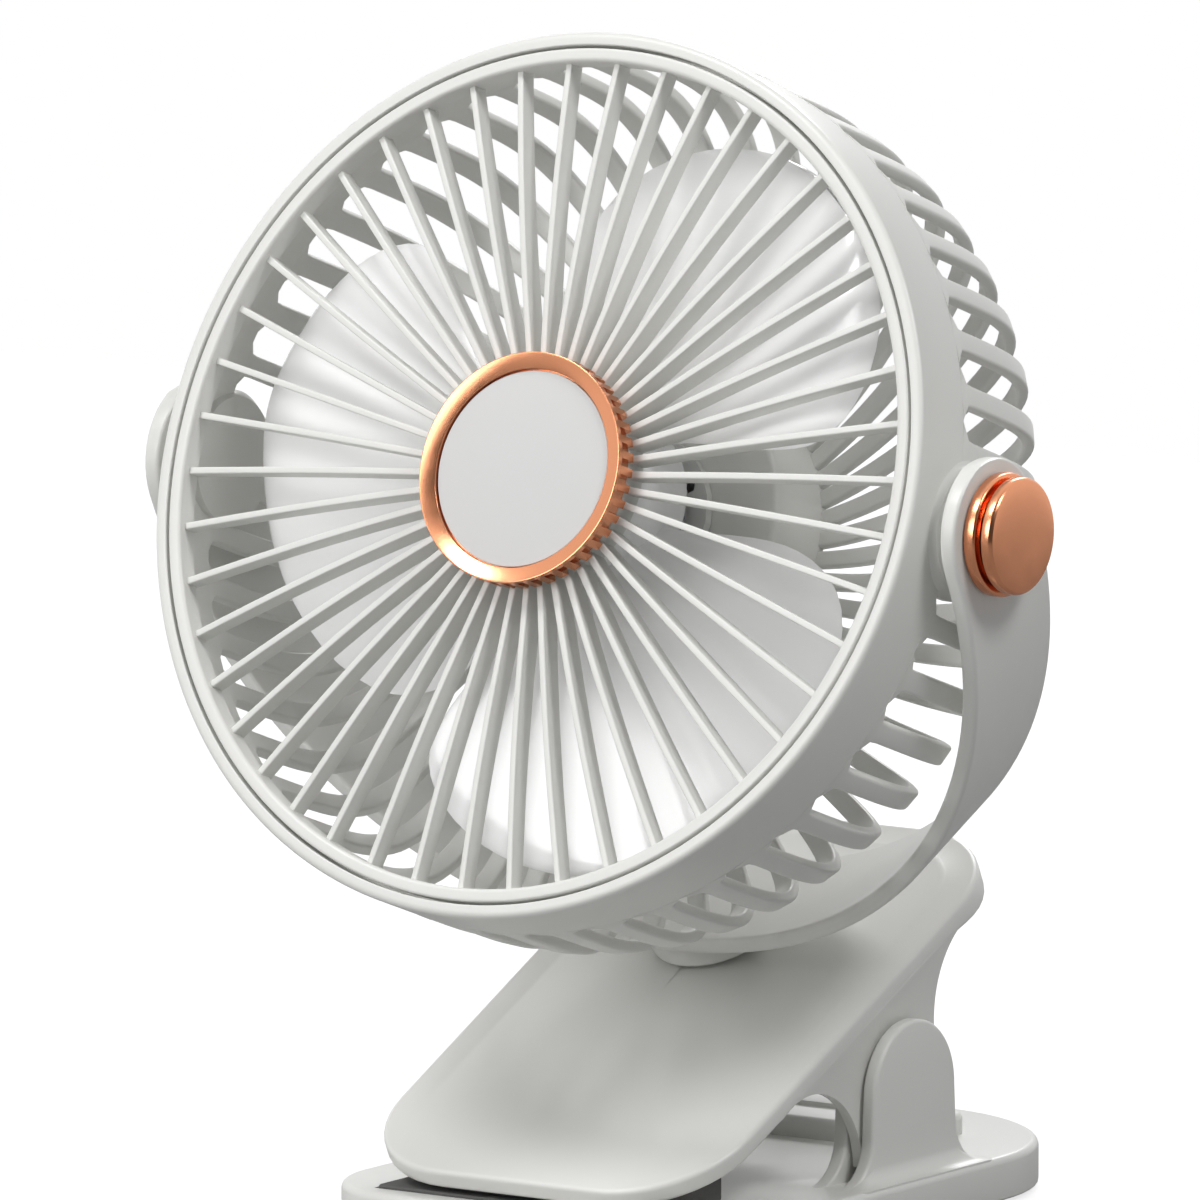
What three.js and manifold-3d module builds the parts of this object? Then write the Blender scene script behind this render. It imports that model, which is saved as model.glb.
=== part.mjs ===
// Clip fan: a round fan head in a tilting, swivelling yoke on a spring clip that also stands on a table.
// Millimetres, +Z up. The origin is the centre of the sole pad's flat bottom, +Y points to the handle.
import * as THREE from 'three';
import { mergeVertices } from 'three/addons/utils/BufferGeometryUtils.js';
import Module from 'manifold-3d';

const wasm = await Module();
wasm.setup();

// ---------------------------------------------------------------- facets of round pieces

const FINE_ROUND = 24;
const ROUND = 20;
const PIN_SIDES = 12;
const SMALL_ROUND = 6;

// ---------------------------------------------------------------- driving dimensions

const GAP = 0.3; // between pieces that touch on the real fan
const RUNNING_GAP = 0.5; // between pieces that move past each other

// where the joints are
const PIVOT_Y = -43; // tilt pivot, in front of the base centre
const PIVOT_Z = 142.1;
const HEAD_TILT = 19.3; // degrees, the head faces up
const INCLINE = 25.66; // degrees, slope of the clip lever and lean of the yoke
const STEM_LENGTH = 104.87; // pivot to the lever's rim plane, along the swivel axis
const HINGE_Y = 4.5; // clip hinge
const HINGE_Z = 25.1;

// head
const BAND_R = 85.3;
const BAND_FRONT = -18.3; // along the head's own axis, which points backwards
const BAND_REAR = -3.6;
const BAND_WALL = 2.6;
const BAND_BEAD = 1.3; // the front bead is this much smaller than the band
const CAGE_RIBS = 48;
const CAGE_RIB_PHASE = 39.8; // degrees
const CAGE_RIB_WIDTH = 4.8;
const CAGE_RIB_THICKNESS = 2.4;
const CAGE_RIB_STEPS = 5;
const CAGE_RIB_ROOT = 1; // how deep a rib starts inside the band
const CAGE_RIB_SINK = 0.3; // of the rib's end under the housing's rim
const CAGE_DEPTH = 42; // from the band's rear edge to the rear rim
const CAGE_BOXINESS = 0.42; // exponent of the rib's curve, smaller is squarer
const CAGE_TWIST = 14; // degrees, clockwise from the band to the rear housing
const HOUSING_R = 30; // rear housing
const HOUSING_WALL = 2.2;
const HOUSING_FLOOR = 20; // along the head's axis
const HOUSING_FLOOR_THICKNESS = 2.4;

const GRILLE_SEAT_GAP = 0.6; // the groove between the band and the grille's ring
const GRILLE_RING_WIDTH = 2.6;
const GRILLE_RING_DEPTH = 5;
const SPOKES = 46;
const SPOKE_PHASE = 4;
const SPOKE_WIDTH = 1.5;
const SPOKE_DEPTH = 5.4;
const SPOKE_STEPS = 2;
const SPOKE_HUB_FRONT = -18;
const SPOKE_RIM_FRONT = -16.4;
const SPOKE_CROWN = 1.2; // how far the spokes bulge forward between hub and rim
const HUB_RING_R = 22.25;
const HUB_DISC_R = 18.87;
const HUB_FRONT = -23.7;
const HUB_TEETH = 46;
const HUB_TOOTH_DEPTH = 1.2;
const HUB_DISC_THICKNESS = 1.2;
const BOSS_WALL = 2;

// impeller
const BLADES = 3;
const BLADE_PHASE = 68;
const BLADE_TIP_CLEARANCE = 7.7; // to the band's inner face
const BLADE_THICKNESS = 1.6;
const BLADE_HALF_ANGLE = 50; // degrees, at the widest
const BLADE_SWEEP = 16; // degrees, the tip trails the root
const BLADE_ROOT_PITCH = 30;
const BLADE_TIP_PITCH = 13;
const IMPELLER_HUB_R = 17;
const IMPELLER_FRONT = -9.5;
const IMPELLER_REAR = 9;
const IMPELLER_WALL = 1.8;

// motor
const SHAFT_R = 1;
const BEARING_R = 3;
const BEARING_LENGTH = 3;
const BEARING_TUBE_WALL = 1.1;
const STATOR_R = 10.2;
const STATOR_TEETH = 9;
const STATOR_THICKNESS = 6;
const MAGNET_THICKNESS = 1.3;
const ROTOR_WALL = 0.8;
const MOTOR_MOUNT_R = 16;
const MOTOR_MOUNT_THICKNESS = 2;
const MOTOR_SCREWS = 3;
const MOTOR_SCREW_CIRCLE = 12.6;
const SCREW_R = 1;
const SCREW_HEAD_R = 1.9;
const SCREW_HEAD_HEIGHT = 1.2;

// rear cover and button
const REAR_COVER_THICKNESS = 2;
const REAR_COVER_DOME = 1.6;
const BUTTON_R = 7;
const BUTTON_PROUD = 1.4;
const BUTTON_TRAVEL = 0.6;
const BOARD_THICKNESS = 1;
const SWITCH_HEIGHT = 3;

// yoke
const HEAD_CLEARANCE = 5.9; // between the band and the strap, at the stem
const STRAP_SQUARENESS = 2.07; // exponent of the strap's curve, 2 is an ellipse
const STRAP_THICKNESS = 3.4;
const STRAP_HALF_WIDTH = 14.2;
const STRAP_STEPS = 32;
const COLLAR_R = 12;
const COLLAR_LENGTH = 5;
const STUB_R = 6.5;
const STUB_BORE_R = 3;
const PIVOT_BOSS_R = 11.8;
const PIVOT_BOSS_HEIGHT = 2; // over the band
const PIN_R = 3;
const PIN_HEAD_R = 6;
const PIN_HEAD_HEIGHT = 1.6;
const PIN_DEPTH = 6; // how far the pin runs into the boss
const WASHER_R = 7.5;
const WASHER_THICKNESS = 0.75;
const STRAP_BOW = 0.25; // room for the strap's curve over the washer
const CAP_RING_R = 11.6;
const CAP_RING_HEIGHT = 2.4;
const CAP_DISC_R = 11;
const CAP_DISC_HEIGHT = 2.6;
const CAP_NECK_R = 9.4;
const CAP_GROOVE = 0.7;
const CAP_PLUG_R = 7.6;
const PLUG_RECESS_R = 9.6; // the left eye takes a flush plug
const PLUG_RECESS_DEPTH = 2.2;
const PLUG_PIN_HEAD = 0.6;
const PLUG_THICKNESS = 0.8;
const PLUG_R = 7;
const SWIVEL_WASHER_R = 10;
const SWIVEL_WASHER_THICKNESS = 1;
const SWIVEL_NUT_R = 9.6;
const SWIVEL_NUT_HEIGHT = 3;

// lever, in its own frame: u across, s up the slope from the swivel axis, n off the rim plane
const LEVER_HALF_WIDTH = 40;
const LEVER_FRONT = -77;
const LEVER_REAR = 48;
const LEVER_CORNER_R = 22;
const LEVER_EDGE = 4;
const HANDLE_EDGE = 6.6; // the rim is thicker at the handle's end
const HANDLE_START = 8;
const LEVER_WALL = 2.2;
const LEVER_CREASE = 6.4; // flat rim strip outside the pillow
const PILLOW_HEIGHT = 4.4;
const PILLOW_FRONT = -66;
const PILLOW_REAR = 44;
const POCKET_CORNER_R = 6;
const LEVER_PRISM_DEPTH = 60; // reaches below the skirts
const POCKET_FRONT = -50; // the jaw in front of it is solid
const SWIVEL_BOSS_R = 9.6;
const SWIVEL_BOSS_DEPTH = 4.4; // below the rim plane
const SKIRT_FRONT_ARCH_R = 17.1;
const SKIRT_FRONT_ARCH_Y = -25.5;
const SKIRT_FRONT_ARCH_Z = 11.5;
const SKIRT_REAR_Y = 16.2;
const SKIRT_REAR_FILLET = 20;
const SKIRT_KNUCKLE_R = 14.6;

// base
const BASE_HALF_WIDTH = 47.2;
const BASE_HALF_LENGTH = 70;
const BASE_FRONT_CORNER_R = 20;
const BASE_REAR_CORNER_R = 40;
const BASE_BOTTOM = 0.8;
const BASE_TOP = 9.3;
const BASE_EDGE_R = 1.5;
const BASE_WALL = 1.8;
const BASE_ROOF = 1.6;
const COVER_THICKNESS = 1.5;
const SOLE_FROM_SIDE = 17.2;
const SOLE_FROM_END = 15;
const EAR_R = 14;
const EAR_FOOT_R = 9; // concave fillet at the ear's foot
const EAR_THICKNESS = 3;
const EAR_FLARE = 3.2;
const EAR_FOOT_CORNER_R = 2.2;
const EAR_FLARE_INSET = 0.2;
const EAR_FLANK = 0.4; // the flanks stand this much outside the round head
const BLOCK_HALF_WIDTH = 27;
const BLOCK_FROM_REAR = 20.5;
const BLOCK_LENGTH = 24.5;
const BLOCK_HEIGHT = 4.2;
const BLOCK_SLOT_HALF_WIDTH = 20;
const BLOCK_SLOT_HALF_LENGTH = 3;
const BLOCK_SLOT_DEPTH = 1;
const PAD_HALF_WIDTH = 33;
const PAD_FROM_FRONT = 5;
const PAD_LENGTH = 19;
const PAD_FROM_LEVER_EDGE = 2.4;
const PAD_PROUD = 0.6;
const PAD_RECESS = 0.7;
const GRIP_TEETH = 5;
const GRIP_TOOTH_DEPTH = 0.8;
const HINGE_PIN_R = 2.5;

// clip spring
const SPRING_WIRE_R = 0.8;
const SPRING_COIL_R = 5.6; // to the middle of the wire
const SPRING_TURNS = 8;
const SPRING_STEPS = 8; // points in a turn
const SPRING_SIDES = 5;
const SPRING_PITCH = 2.9;
const SPRING_LOWER_LEG = 20;
const SPRING_UPPER_LEG = 17;

// battery and charging
const CELL_HALF_WIDTH = 30;
const CELL_FRONT = -42;
const CELL_REAR = 34;
const CELL_THICKNESS = 4.4;
const BOARD_HALF_WIDTH = 14;
const BOARD_LENGTH = 20;
const INLET_HALF_WIDTH = 4.5;
const INLET_HEIGHT = 3.1;
const INLET_LENGTH = 7.3;
const INLET_WALL = 0.3;
const FRONT_SCREW_FROM_SIDE = 11.2;
const FRONT_SCREW_FROM_END = 13;
const REAR_SCREW_FROM_SIDE = 16.2;
const REAR_SCREW_FROM_END = 24;
const POST_R = 3;

// finishes
const finish = (color, roughness, metalness = 0) =>
  new THREE.MeshStandardMaterial({ color, roughness, metalness });
const SHELL = 0xe2e2de;
const GLOSS = 0xf4f4f4;
const ROSE_GOLD = 0xde966e;
const SILVER = 0xdedede;
const STEEL = 0xb4b8bc;
const RUBBER = 0x9a9a98;
const BOARD_GREEN = 0x2c6a46;
const COPPER = 0xb8703c;
const DARK = 0x3a3a3c;

// ---------------------------------------------------------------- geometry helpers

const rad = THREE.MathUtils.degToRad;
const v2 = (x, y) => new THREE.Vector2(x, y);
const v3 = (x, y, z) => new THREE.Vector3(x, y, z);
const range = (count) => Array.from({ length: count }, (_, i) => i);

// a closed geometry as a solid, with its faces turned outwards
function solid(geometry) {
  const source = geometry.clone();
  for (const name of Object.keys(source.attributes)) {
    if (name !== 'position') source.deleteAttribute(name);
  }
  const merged = mergeVertices(source, 1e-4);
  const positions = merged.attributes.position.array;
  const corner = (i) => new THREE.Vector3().fromArray(positions, 3 * i);
  const faces = [];
  let volume = 0;
  for (let i = 0; i < merged.index.count; i += 3) {
    const [a, b, c] = [0, 1, 2].map((k) => merged.index.array[i + k]);
    if (a === b || b === c || c === a) continue;
    faces.push([a, b, c]);
    volume += corner(a).dot(corner(b).cross(corner(c)));
  }
  const turned = volume < 0 ? faces.map(([a, b, c]) => [a, c, b]) : faces;
  return new wasm.Manifold(new wasm.Mesh({
    numProp: 3,
    vertProperties: new Float32Array(positions),
    triVerts: new Uint32Array(turned.flat()),
  }));
}

const joined = (solids) => solids.reduce((sum, next) => sum.add(next));
const cut = (body, tools) => tools.reduce((rest, tool) => rest.subtract(tool), body);

// a solid as a named mesh
function piece(name, body, color, roughness, metalness = 0) {
  const shape = body.getMesh();
  const geometry = new THREE.BufferGeometry();
  geometry.setAttribute('position', new THREE.BufferAttribute(new Float32Array(shape.vertProperties), 3));
  geometry.setIndex(new THREE.BufferAttribute(new Uint32Array(shape.triVerts), 1));
  geometry.computeVertexNormals();
  const mesh = new THREE.Mesh(geometry, finish(color, roughness, metalness));
  mesh.name = name;
  return mesh;
}

// rings of points, all with the same count, skinned and closed at both ends
function loft(rings) {
  const count = rings[0].length;
  const positions = rings.flat().flatMap((p) => [p.x, p.y, p.z]);
  const index = [];
  for (const k of range(rings.length - 1)) {
    for (const i of range(count)) {
      const j = (i + 1) % count;
      const [a, b] = [k * count + i, k * count + j];
      index.push(a, b, b + count, a, b + count, a + count);
    }
  }
  for (const [ring, flip] of [[0, true], [rings.length - 1, false]]) {
    const middle = rings[ring].reduce((sum, p) => sum.add(p), v3(0, 0, 0)).divideScalar(count);
    const centre = positions.length / 3;
    positions.push(middle.x, middle.y, middle.z);
    for (const i of range(count)) {
      const [a, b] = [ring * count + i, ring * count + ((i + 1) % count)];
      index.push(centre, flip ? b : a, flip ? a : b);
    }
  }
  const geometry = new THREE.BufferGeometry();
  geometry.setAttribute('position', new THREE.BufferAttribute(new Float32Array(positions), 3));
  geometry.setIndex(index);
  return geometry;
}

// a profile of [radius, place] pairs turned about the Y axis
function turned(profile, segments = 48) {
  const points = [...profile, profile[0]].map(([r, y]) => v2(r, y));
  return solid(new THREE.LatheGeometry(points, segments));
}

// the same profile turned about the X or Z axis
const turnedX = (profile, segments) => turned(profile, segments).rotate([0, 0, -90]);
const turnedZ = (profile, segments) => turned(profile, segments).rotate([90, 0, 0]);

const disc = (r, from, to, segments) => turned([[0, from], [r, from], [r, to], [0, to]], segments);
const ring = (inner, outer, from, to, segments) =>
  turned([[inner, from], [outer, from], [outer, to], [inner, to]], segments);

// a closed outline of [a, b] pairs, extruded
function extruded(outline, depth) {
  const shape = new THREE.Shape(outline.map(([a, b]) => v2(a, b)));
  return solid(new THREE.ExtrudeGeometry(shape, { depth, bevelEnabled: false }));
}

// an outline in Y and Z, extruded along X between two places
function extrudedX(outline, from, to) {
  return extruded(outline, to - from).rotate([90, 0, 90]).translate([from, 0, 0]);
}

function box([x0, y0, z0], [x1, y1, z1]) {
  const geometry = new THREE.BoxGeometry(x1 - x0, y1 - y0, z1 - z0);
  geometry.translate((x0 + x1) / 2, (y0 + y1) / 2, (z0 + z1) / 2);
  return solid(geometry);
}

// the turn about Y that puts the middle of a facet of a turned piece at an angle
const facetTurn = (angle, facets) => 180 / facets - angle;

// points of an arc, in degrees, ends included
function arc(cx, cy, r, from, to, steps) {
  return range(steps + 1).map((i) => {
    const angle = rad(from + ((to - from) * i) / steps);
    return [cx + r * Math.cos(angle), cy + r * Math.sin(angle)];
  });
}

// a rounded rectangle with its own corner radii in front and behind, drawn in by an inset, with
// extra points on its ends and sides
function roundedOutline({ halfWidth, front, rear, frontR, rearR }, inset, steps = 5, extra = [0, 0]) {
  const w = halfWidth - inset;
  const [f, r] = [front + inset, rear - inset];
  const [fr, rr] = [Math.max(frontR - inset, 0.5), Math.max(rearR - inset, 0.5)];
  const corners = [
    arc(w - rr, r - rr, rr, 0, 90, steps),
    arc(rr - w, r - rr, rr, 90, 180, steps),
    arc(fr - w, f + fr, fr, 180, 270, steps),
    arc(w - fr, f + fr, fr, 270, 360, steps),
  ];
  return corners.flatMap((corner, k) => {
    const [from, to] = [corner[steps], corners[(k + 1) % 4][0]];
    const count = extra[k % 2];
    const between = range(count).map((i) => {
      const t = (i + 1) / (count + 1);
      return [from[0] + (to[0] - from[0]) * t, from[1] + (to[1] - from[1]) * t];
    });
    return [...corner, ...between];
  });
}

// a slab with that outline, its top edge rounded
function slab(outline, bottom, top, topR, inset = 0, steps = 5, filletSteps = 2) {
  const level = (by, z) => roundedOutline(outline, inset + by, steps).map(([x, y]) => v3(x, y, z));
  const rings = [level(0, bottom)];
  for (const i of range(filletSteps + 1)) {
    const angle = rad((90 * i) / filletSteps);
    rings.push(level(topR * (1 - Math.cos(angle)), top - topR * (1 - Math.sin(angle))));
  }
  return solid(loft(rings));
}

// a round wire along a list of points
function wire(points, r, sides) {
  const rings = [];
  let side = v3(1, 0, 0);
  for (const [i, point] of points.entries()) {
    const before = points[Math.max(i - 1, 0)];
    const after = points[Math.min(i + 1, points.length - 1)];
    const along = after.clone().sub(before).normalize();
    side = side.clone().addScaledVector(along, -side.dot(along)).normalize();
    const up = along.clone().cross(side);
    rings.push(range(sides).map((k) => {
      const angle = (2 * Math.PI * k) / sides;
      return point.clone()
        .addScaledVector(side, r * Math.cos(angle))
        .addScaledVector(up, r * Math.sin(angle));
    }));
  }
  return solid(loft(rings));
}

// ---------------------------------------------------------------- frames of the moving groups

const SLOPE = rad(INCLINE);
const BAND_INNER_R = BAND_R - BAND_WALL;
const GRILLE_RING_R = BAND_INNER_R - GRILLE_SEAT_GAP;
const GRILLE_RING_INNER_R = GRILLE_RING_R - GRILLE_RING_WIDTH;
const BLADE_TIP_R = BAND_INNER_R - BLADE_TIP_CLEARANCE;
const PIVOT_BOSS_FACE = BAND_R + PIVOT_BOSS_HEIGHT;
const WASHER_FACE = PIVOT_BOSS_FACE + GAP + WASHER_THICKNESS;
const STRAP_HALF_SPAN = WASHER_FACE + GAP + STRAP_BOW + STRAP_THICKNESS; // outer face, at the pivots
const STRAP_DROP = BAND_R + HEAD_CLEARANCE + STRAP_THICKNESS; // outer face, at the stem
const PAD_FRONT = PAD_FROM_FRONT - BASE_HALF_LENGTH;
const PAD_REAR = PAD_FRONT + PAD_LENGTH;
const BLOCK_REAR = BASE_HALF_LENGTH - BLOCK_FROM_REAR;
const BLOCK_FRONT = BLOCK_REAR - BLOCK_LENGTH;
const FOOT_Y = PIVOT_Y + STEM_LENGTH * Math.sin(SLOPE);
const FOOT_Z = PIVOT_Z - STEM_LENGTH * Math.cos(SLOPE);

// the height of a plane parallel to the lever's rim, n off it, at a place y
const leverPlane = (y, n) => FOOT_Z + (y - FOOT_Y) * Math.tan(SLOPE) + n / Math.cos(SLOPE);
const fromLever = (body) => body.rotate([INCLINE, 0, 0]).translate([0, FOOT_Y, FOOT_Z]);

// ---------------------------------------------------------------- head: rear cage

const HOUSING_REAR = BAND_REAR + CAGE_DEPTH;
const FACET_SINK = Math.cos(Math.PI / CAGE_RIBS) - 0.0005;

// the outer line of a cage rib at t from 0, at the band, to 1, at the rear housing
function cageLine(t) {
  const angle = t * (Math.PI / 2);
  const c = Math.max(Math.cos(angle), 0) ** CAGE_BOXINESS;
  const s = Math.sin(angle) ** CAGE_BOXINESS;
  return v2(HOUSING_R + (BAND_R - HOUSING_R) * c, BAND_REAR + CAGE_DEPTH * s);
}

function cageRib(phase) {
  const stations = range(CAGE_RIB_STEPS + 1).map((k) => cageLine(k / CAGE_RIB_STEPS));
  const last = stations.length - 1;
  // the rib starts inside the band and ends inside the housing's wall, under their facets
  stations[0].y = BAND_REAR - CAGE_RIB_ROOT;
  stations[0].x = BAND_R * FACET_SINK;
  stations[1].x = Math.min(stations[1].x, stations[0].x);
  stations[last].x = HOUSING_R - HOUSING_WALL / 2;
  stations[last].y -= CAGE_RIB_SINK;
  const rings = stations.map((station, k) => {
    const before = stations[Math.max(k - 1, 0)];
    const after = stations[Math.min(k + 1, last)];
    const along = after.clone().sub(before).normalize();
    const inward = v2(-along.y, along.x);
    const turn = CAGE_TWIST * THREE.MathUtils.clamp((BAND_R - station.x) / (BAND_R - HOUSING_R), 0, 1);
    const angle = rad(phase - turn);
    const width = THREE.MathUtils.lerp(CAGE_RIB_WIDTH * 0.62, CAGE_RIB_WIDTH, station.x / BAND_R);
    return [[-0.5, 0], [0.5, 0], [0.5, 1], [-0.5, 1]].map(([side, depth]) => {
      const r = station.x + inward.x * depth * CAGE_RIB_THICKNESS;
      const y = station.y + inward.y * depth * CAGE_RIB_THICKNESS;
      const across = side * width;
      return v3(
        r * Math.cos(angle) - across * Math.sin(angle),
        y,
        r * Math.sin(angle) + across * Math.cos(angle),
      );
    });
  });
  return solid(loft(rings));
}

function pivotBoss(side) {
  const inner = side * (BAND_INNER_R - 3);
  const outer = side * PIVOT_BOSS_FACE;
  return turnedX([[0, inner], [PIVOT_BOSS_R, inner], [PIVOT_BOSS_R, outer], [0, outer]], ROUND);
}

const PIN_HOLE_END = PIVOT_BOSS_FACE - PIN_DEPTH - 0.8;

function pinHole(side) {
  const inner = side * PIN_HOLE_END;
  const outer = side * (PIVOT_BOSS_FACE + 1);
  const r = PIN_R + GAP;
  return turnedX([[0, inner], [r, inner], [r, outer], [0, outer]], PIN_SIDES);
}

const COVER_SEAT = HOUSING_REAR - REAR_COVER_THICKNESS;
const BOARD_FRONT = HOUSING_FLOOR + HOUSING_FLOOR_THICKNESS + 3;
const CONTROL_BOARD_R = HOUSING_R - HOUSING_WALL - 2;
const POST_CIRCLE = 20;

function rearCage() {
  const band = turned([
    [BAND_INNER_R, BAND_FRONT],
    [BAND_R - BAND_BEAD, BAND_FRONT],
    [BAND_R, BAND_FRONT + 1.6],
    [BAND_R, BAND_REAR],
    [BAND_INNER_R, BAND_REAR],
  ], CAGE_RIBS).rotate([0, facetTurn(CAGE_RIB_PHASE, CAGE_RIBS), 0]);
  const housing = turned([
    [0, HOUSING_FLOOR],
    [HOUSING_R, HOUSING_FLOOR],
    [HOUSING_R, HOUSING_REAR],
    [HOUSING_R - HOUSING_WALL, HOUSING_REAR],
    [HOUSING_R - HOUSING_WALL, HOUSING_FLOOR + HOUSING_FLOOR_THICKNESS],
    [0, HOUSING_FLOOR + HOUSING_FLOOR_THICKNESS],
  ], CAGE_RIBS).rotate([0, facetTurn(CAGE_RIB_PHASE - CAGE_TWIST, CAGE_RIBS), 0]);
  const ribs = range(CAGE_RIBS).map((k) => cageRib(CAGE_RIB_PHASE + (360 * k) / CAGE_RIBS));
  const posts = range(MOTOR_SCREWS).map((k) => {
    const angle = rad(90 + (360 * k) / MOTOR_SCREWS);
    return disc(2, HOUSING_FLOOR + 1, BOARD_FRONT - GAP, SMALL_ROUND)
      .translate([POST_CIRCLE * Math.cos(angle), 0, POST_CIRCLE * Math.sin(angle)]);
  });
  const whole = joined([band, housing, ...ribs, ...posts, pivotBoss(1), pivotBoss(-1)]);
  const screwHoles = motorScrewPlaces().map(([x, z]) =>
    disc(SCREW_R + GAP, HOUSING_FLOOR - 1, HOUSING_FLOOR + HOUSING_FLOOR_THICKNESS + 1, SMALL_ROUND)
      .translate([x, 0, z]));
  return cut(whole, [pinHole(1), pinHole(-1), ...screwHoles]);
}

// ---------------------------------------------------------------- head: front grille and hub

const BOSS_R = HUB_DISC_R + BOSS_WALL;
const GRILLE_REAR = SPOKE_HUB_FRONT + SPOKE_DEPTH;
const PLATE_FRONT = SPOKE_HUB_FRONT;

function spoke(phase) {
  const from = BOSS_R - 1;
  const to = GRILLE_RING_INNER_R + 1;
  const angle = rad(phase);
  const rings = range(SPOKE_STEPS + 1).map((k) => {
    const t = k / SPOKE_STEPS;
    const r = THREE.MathUtils.lerp(from, to, t);
    const crown = SPOKE_CROWN * Math.sin(Math.PI * t);
    const front = THREE.MathUtils.lerp(SPOKE_HUB_FRONT, SPOKE_RIM_FRONT, t) - crown;
    const depth = THREE.MathUtils.lerp(SPOKE_DEPTH, SPOKE_DEPTH * 0.75, t);
    const half = SPOKE_WIDTH / 2;
    return [[-half, 0], [half, 0], [half, depth], [-half, depth]].map(([across, back]) => v3(
      r * Math.cos(angle) - across * Math.sin(angle),
      front + back,
      r * Math.sin(angle) + across * Math.cos(angle),
    ));
  });
  return solid(loft(rings));
}

function frontGrille() {
  const outer = turned([
    [GRILLE_RING_INNER_R, BAND_FRONT + 0.6],
    [GRILLE_RING_INNER_R + 0.6, BAND_FRONT],
    [GRILLE_RING_R, BAND_FRONT],
    [GRILLE_RING_R, BAND_FRONT + GRILLE_RING_DEPTH],
    [GRILLE_RING_INNER_R, BAND_FRONT + GRILLE_RING_DEPTH],
  ], SPOKES).rotate([0, facetTurn(SPOKE_PHASE, SPOKES), 0]);
  const boss = disc(BOSS_R, PLATE_FRONT, GRILLE_REAR, SPOKES)
    .rotate([0, facetTurn(SPOKE_PHASE, SPOKES), 0]);
  const spokes = range(SPOKES).map((k) => spoke(SPOKE_PHASE + (360 * k) / SPOKES));
  return joined([outer, boss, ...spokes]);
}

function hubRing() {
  const rear = PLATE_FRONT - GAP;
  const body = turned([
    [HUB_DISC_R + GAP, HUB_FRONT],
    [HUB_RING_R - 0.5, HUB_FRONT],
    [HUB_RING_R, HUB_FRONT + 0.5],
    [HUB_RING_R, rear],
    [HUB_DISC_R - 2, rear],
    [HUB_DISC_R - 2, HUB_FRONT + HUB_DISC_THICKNESS + 0.8 + GAP],
    [HUB_DISC_R + GAP, HUB_FRONT + HUB_DISC_THICKNESS + 0.8 + GAP],
  ], HUB_TEETH);
  const pitch = 360 / HUB_TEETH;
  const slots = range(HUB_TEETH).map((k) => {
    const half = (HUB_RING_R * rad(pitch)) / 4;
    const slot = box(
      [HUB_RING_R - HUB_TOOTH_DEPTH, HUB_FRONT + 1.4, -half],
      [HUB_RING_R + 1, rear + 1, half],
    );
    return slot.rotate([0, -(SPOKE_PHASE + pitch * (k + 0.5)), 0]);
  });
  return cut(body, slots);
}

function hubDisc() {
  const front = HUB_FRONT + 0.5;
  return turned([
    [0, front],
    [HUB_DISC_R, front],
    [HUB_DISC_R, HUB_FRONT + HUB_DISC_THICKNESS + 0.8],
    [0, HUB_FRONT + HUB_DISC_THICKNESS + 0.8],
  ], HUB_TEETH);
}

// ---------------------------------------------------------------- head: motor and impeller

const MOUNT_REAR = HOUSING_FLOOR - GAP;
const MOUNT_FRONT = MOUNT_REAR - MOTOR_MOUNT_THICKNESS;
const TUBE_R = BEARING_R + GAP + BEARING_TUBE_WALL;
const ROTOR_INNER_R = STATOR_R + 2 * GAP + MAGNET_THICKNESS;
const ROTOR_R = ROTOR_INNER_R + ROTOR_WALL;
const ROTOR_FRONT = IMPELLER_FRONT + IMPELLER_WALL + GAP;
const ROTOR_REAR = MOUNT_FRONT - 2.4;
const STATOR_REAR = MOUNT_FRONT - 3.6;
const STATOR_FRONT = STATOR_REAR - STATOR_THICKNESS - 4;
const TUBE_FRONT = STATOR_FRONT - 1.5;

function motorScrewPlaces() {
  return range(MOTOR_SCREWS).map((k) => {
    const angle = rad(30 + (360 * k) / MOTOR_SCREWS);
    return [MOTOR_SCREW_CIRCLE * Math.cos(angle), MOTOR_SCREW_CIRCLE * Math.sin(angle)];
  });
}

function motorMount() {
  const plate = disc(MOTOR_MOUNT_R, MOUNT_FRONT, MOUNT_REAR, ROUND);
  const tube = disc(TUBE_R, TUBE_FRONT, MOUNT_FRONT + 1, PIN_SIDES);
  const bore = disc(BEARING_R + GAP, TUBE_FRONT - 1, MOUNT_FRONT + 0.6, PIN_SIDES);
  const holes = motorScrewPlaces().map(([x, z]) =>
    disc(SCREW_R + GAP, MOUNT_FRONT - 1, MOUNT_REAR + 1, SMALL_ROUND).translate([x, 0, z]));
  return cut(plate.add(tube), [bore, ...holes]);
}

// screws come from inside the housing, with their heads on its floor
function motorScrew([x, z]) {
  const seat = HOUSING_FLOOR + HOUSING_FLOOR_THICKNESS + GAP;
  return turned([
    [0, MOUNT_FRONT + 0.4],
    [SCREW_R, MOUNT_FRONT + 0.4],
    [SCREW_R, seat],
    [SCREW_HEAD_R, seat],
    [SCREW_HEAD_R, seat + SCREW_HEAD_HEIGHT * 0.6],
    [SCREW_HEAD_R * 0.6, seat + SCREW_HEAD_HEIGHT],
    [0, seat + SCREW_HEAD_HEIGHT],
  ], SMALL_ROUND).translate([x, 0, z]);
}

function bearing(front) {
  return ring(SHAFT_R + GAP, BEARING_R, front, front + BEARING_LENGTH, PIN_SIDES);
}

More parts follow.
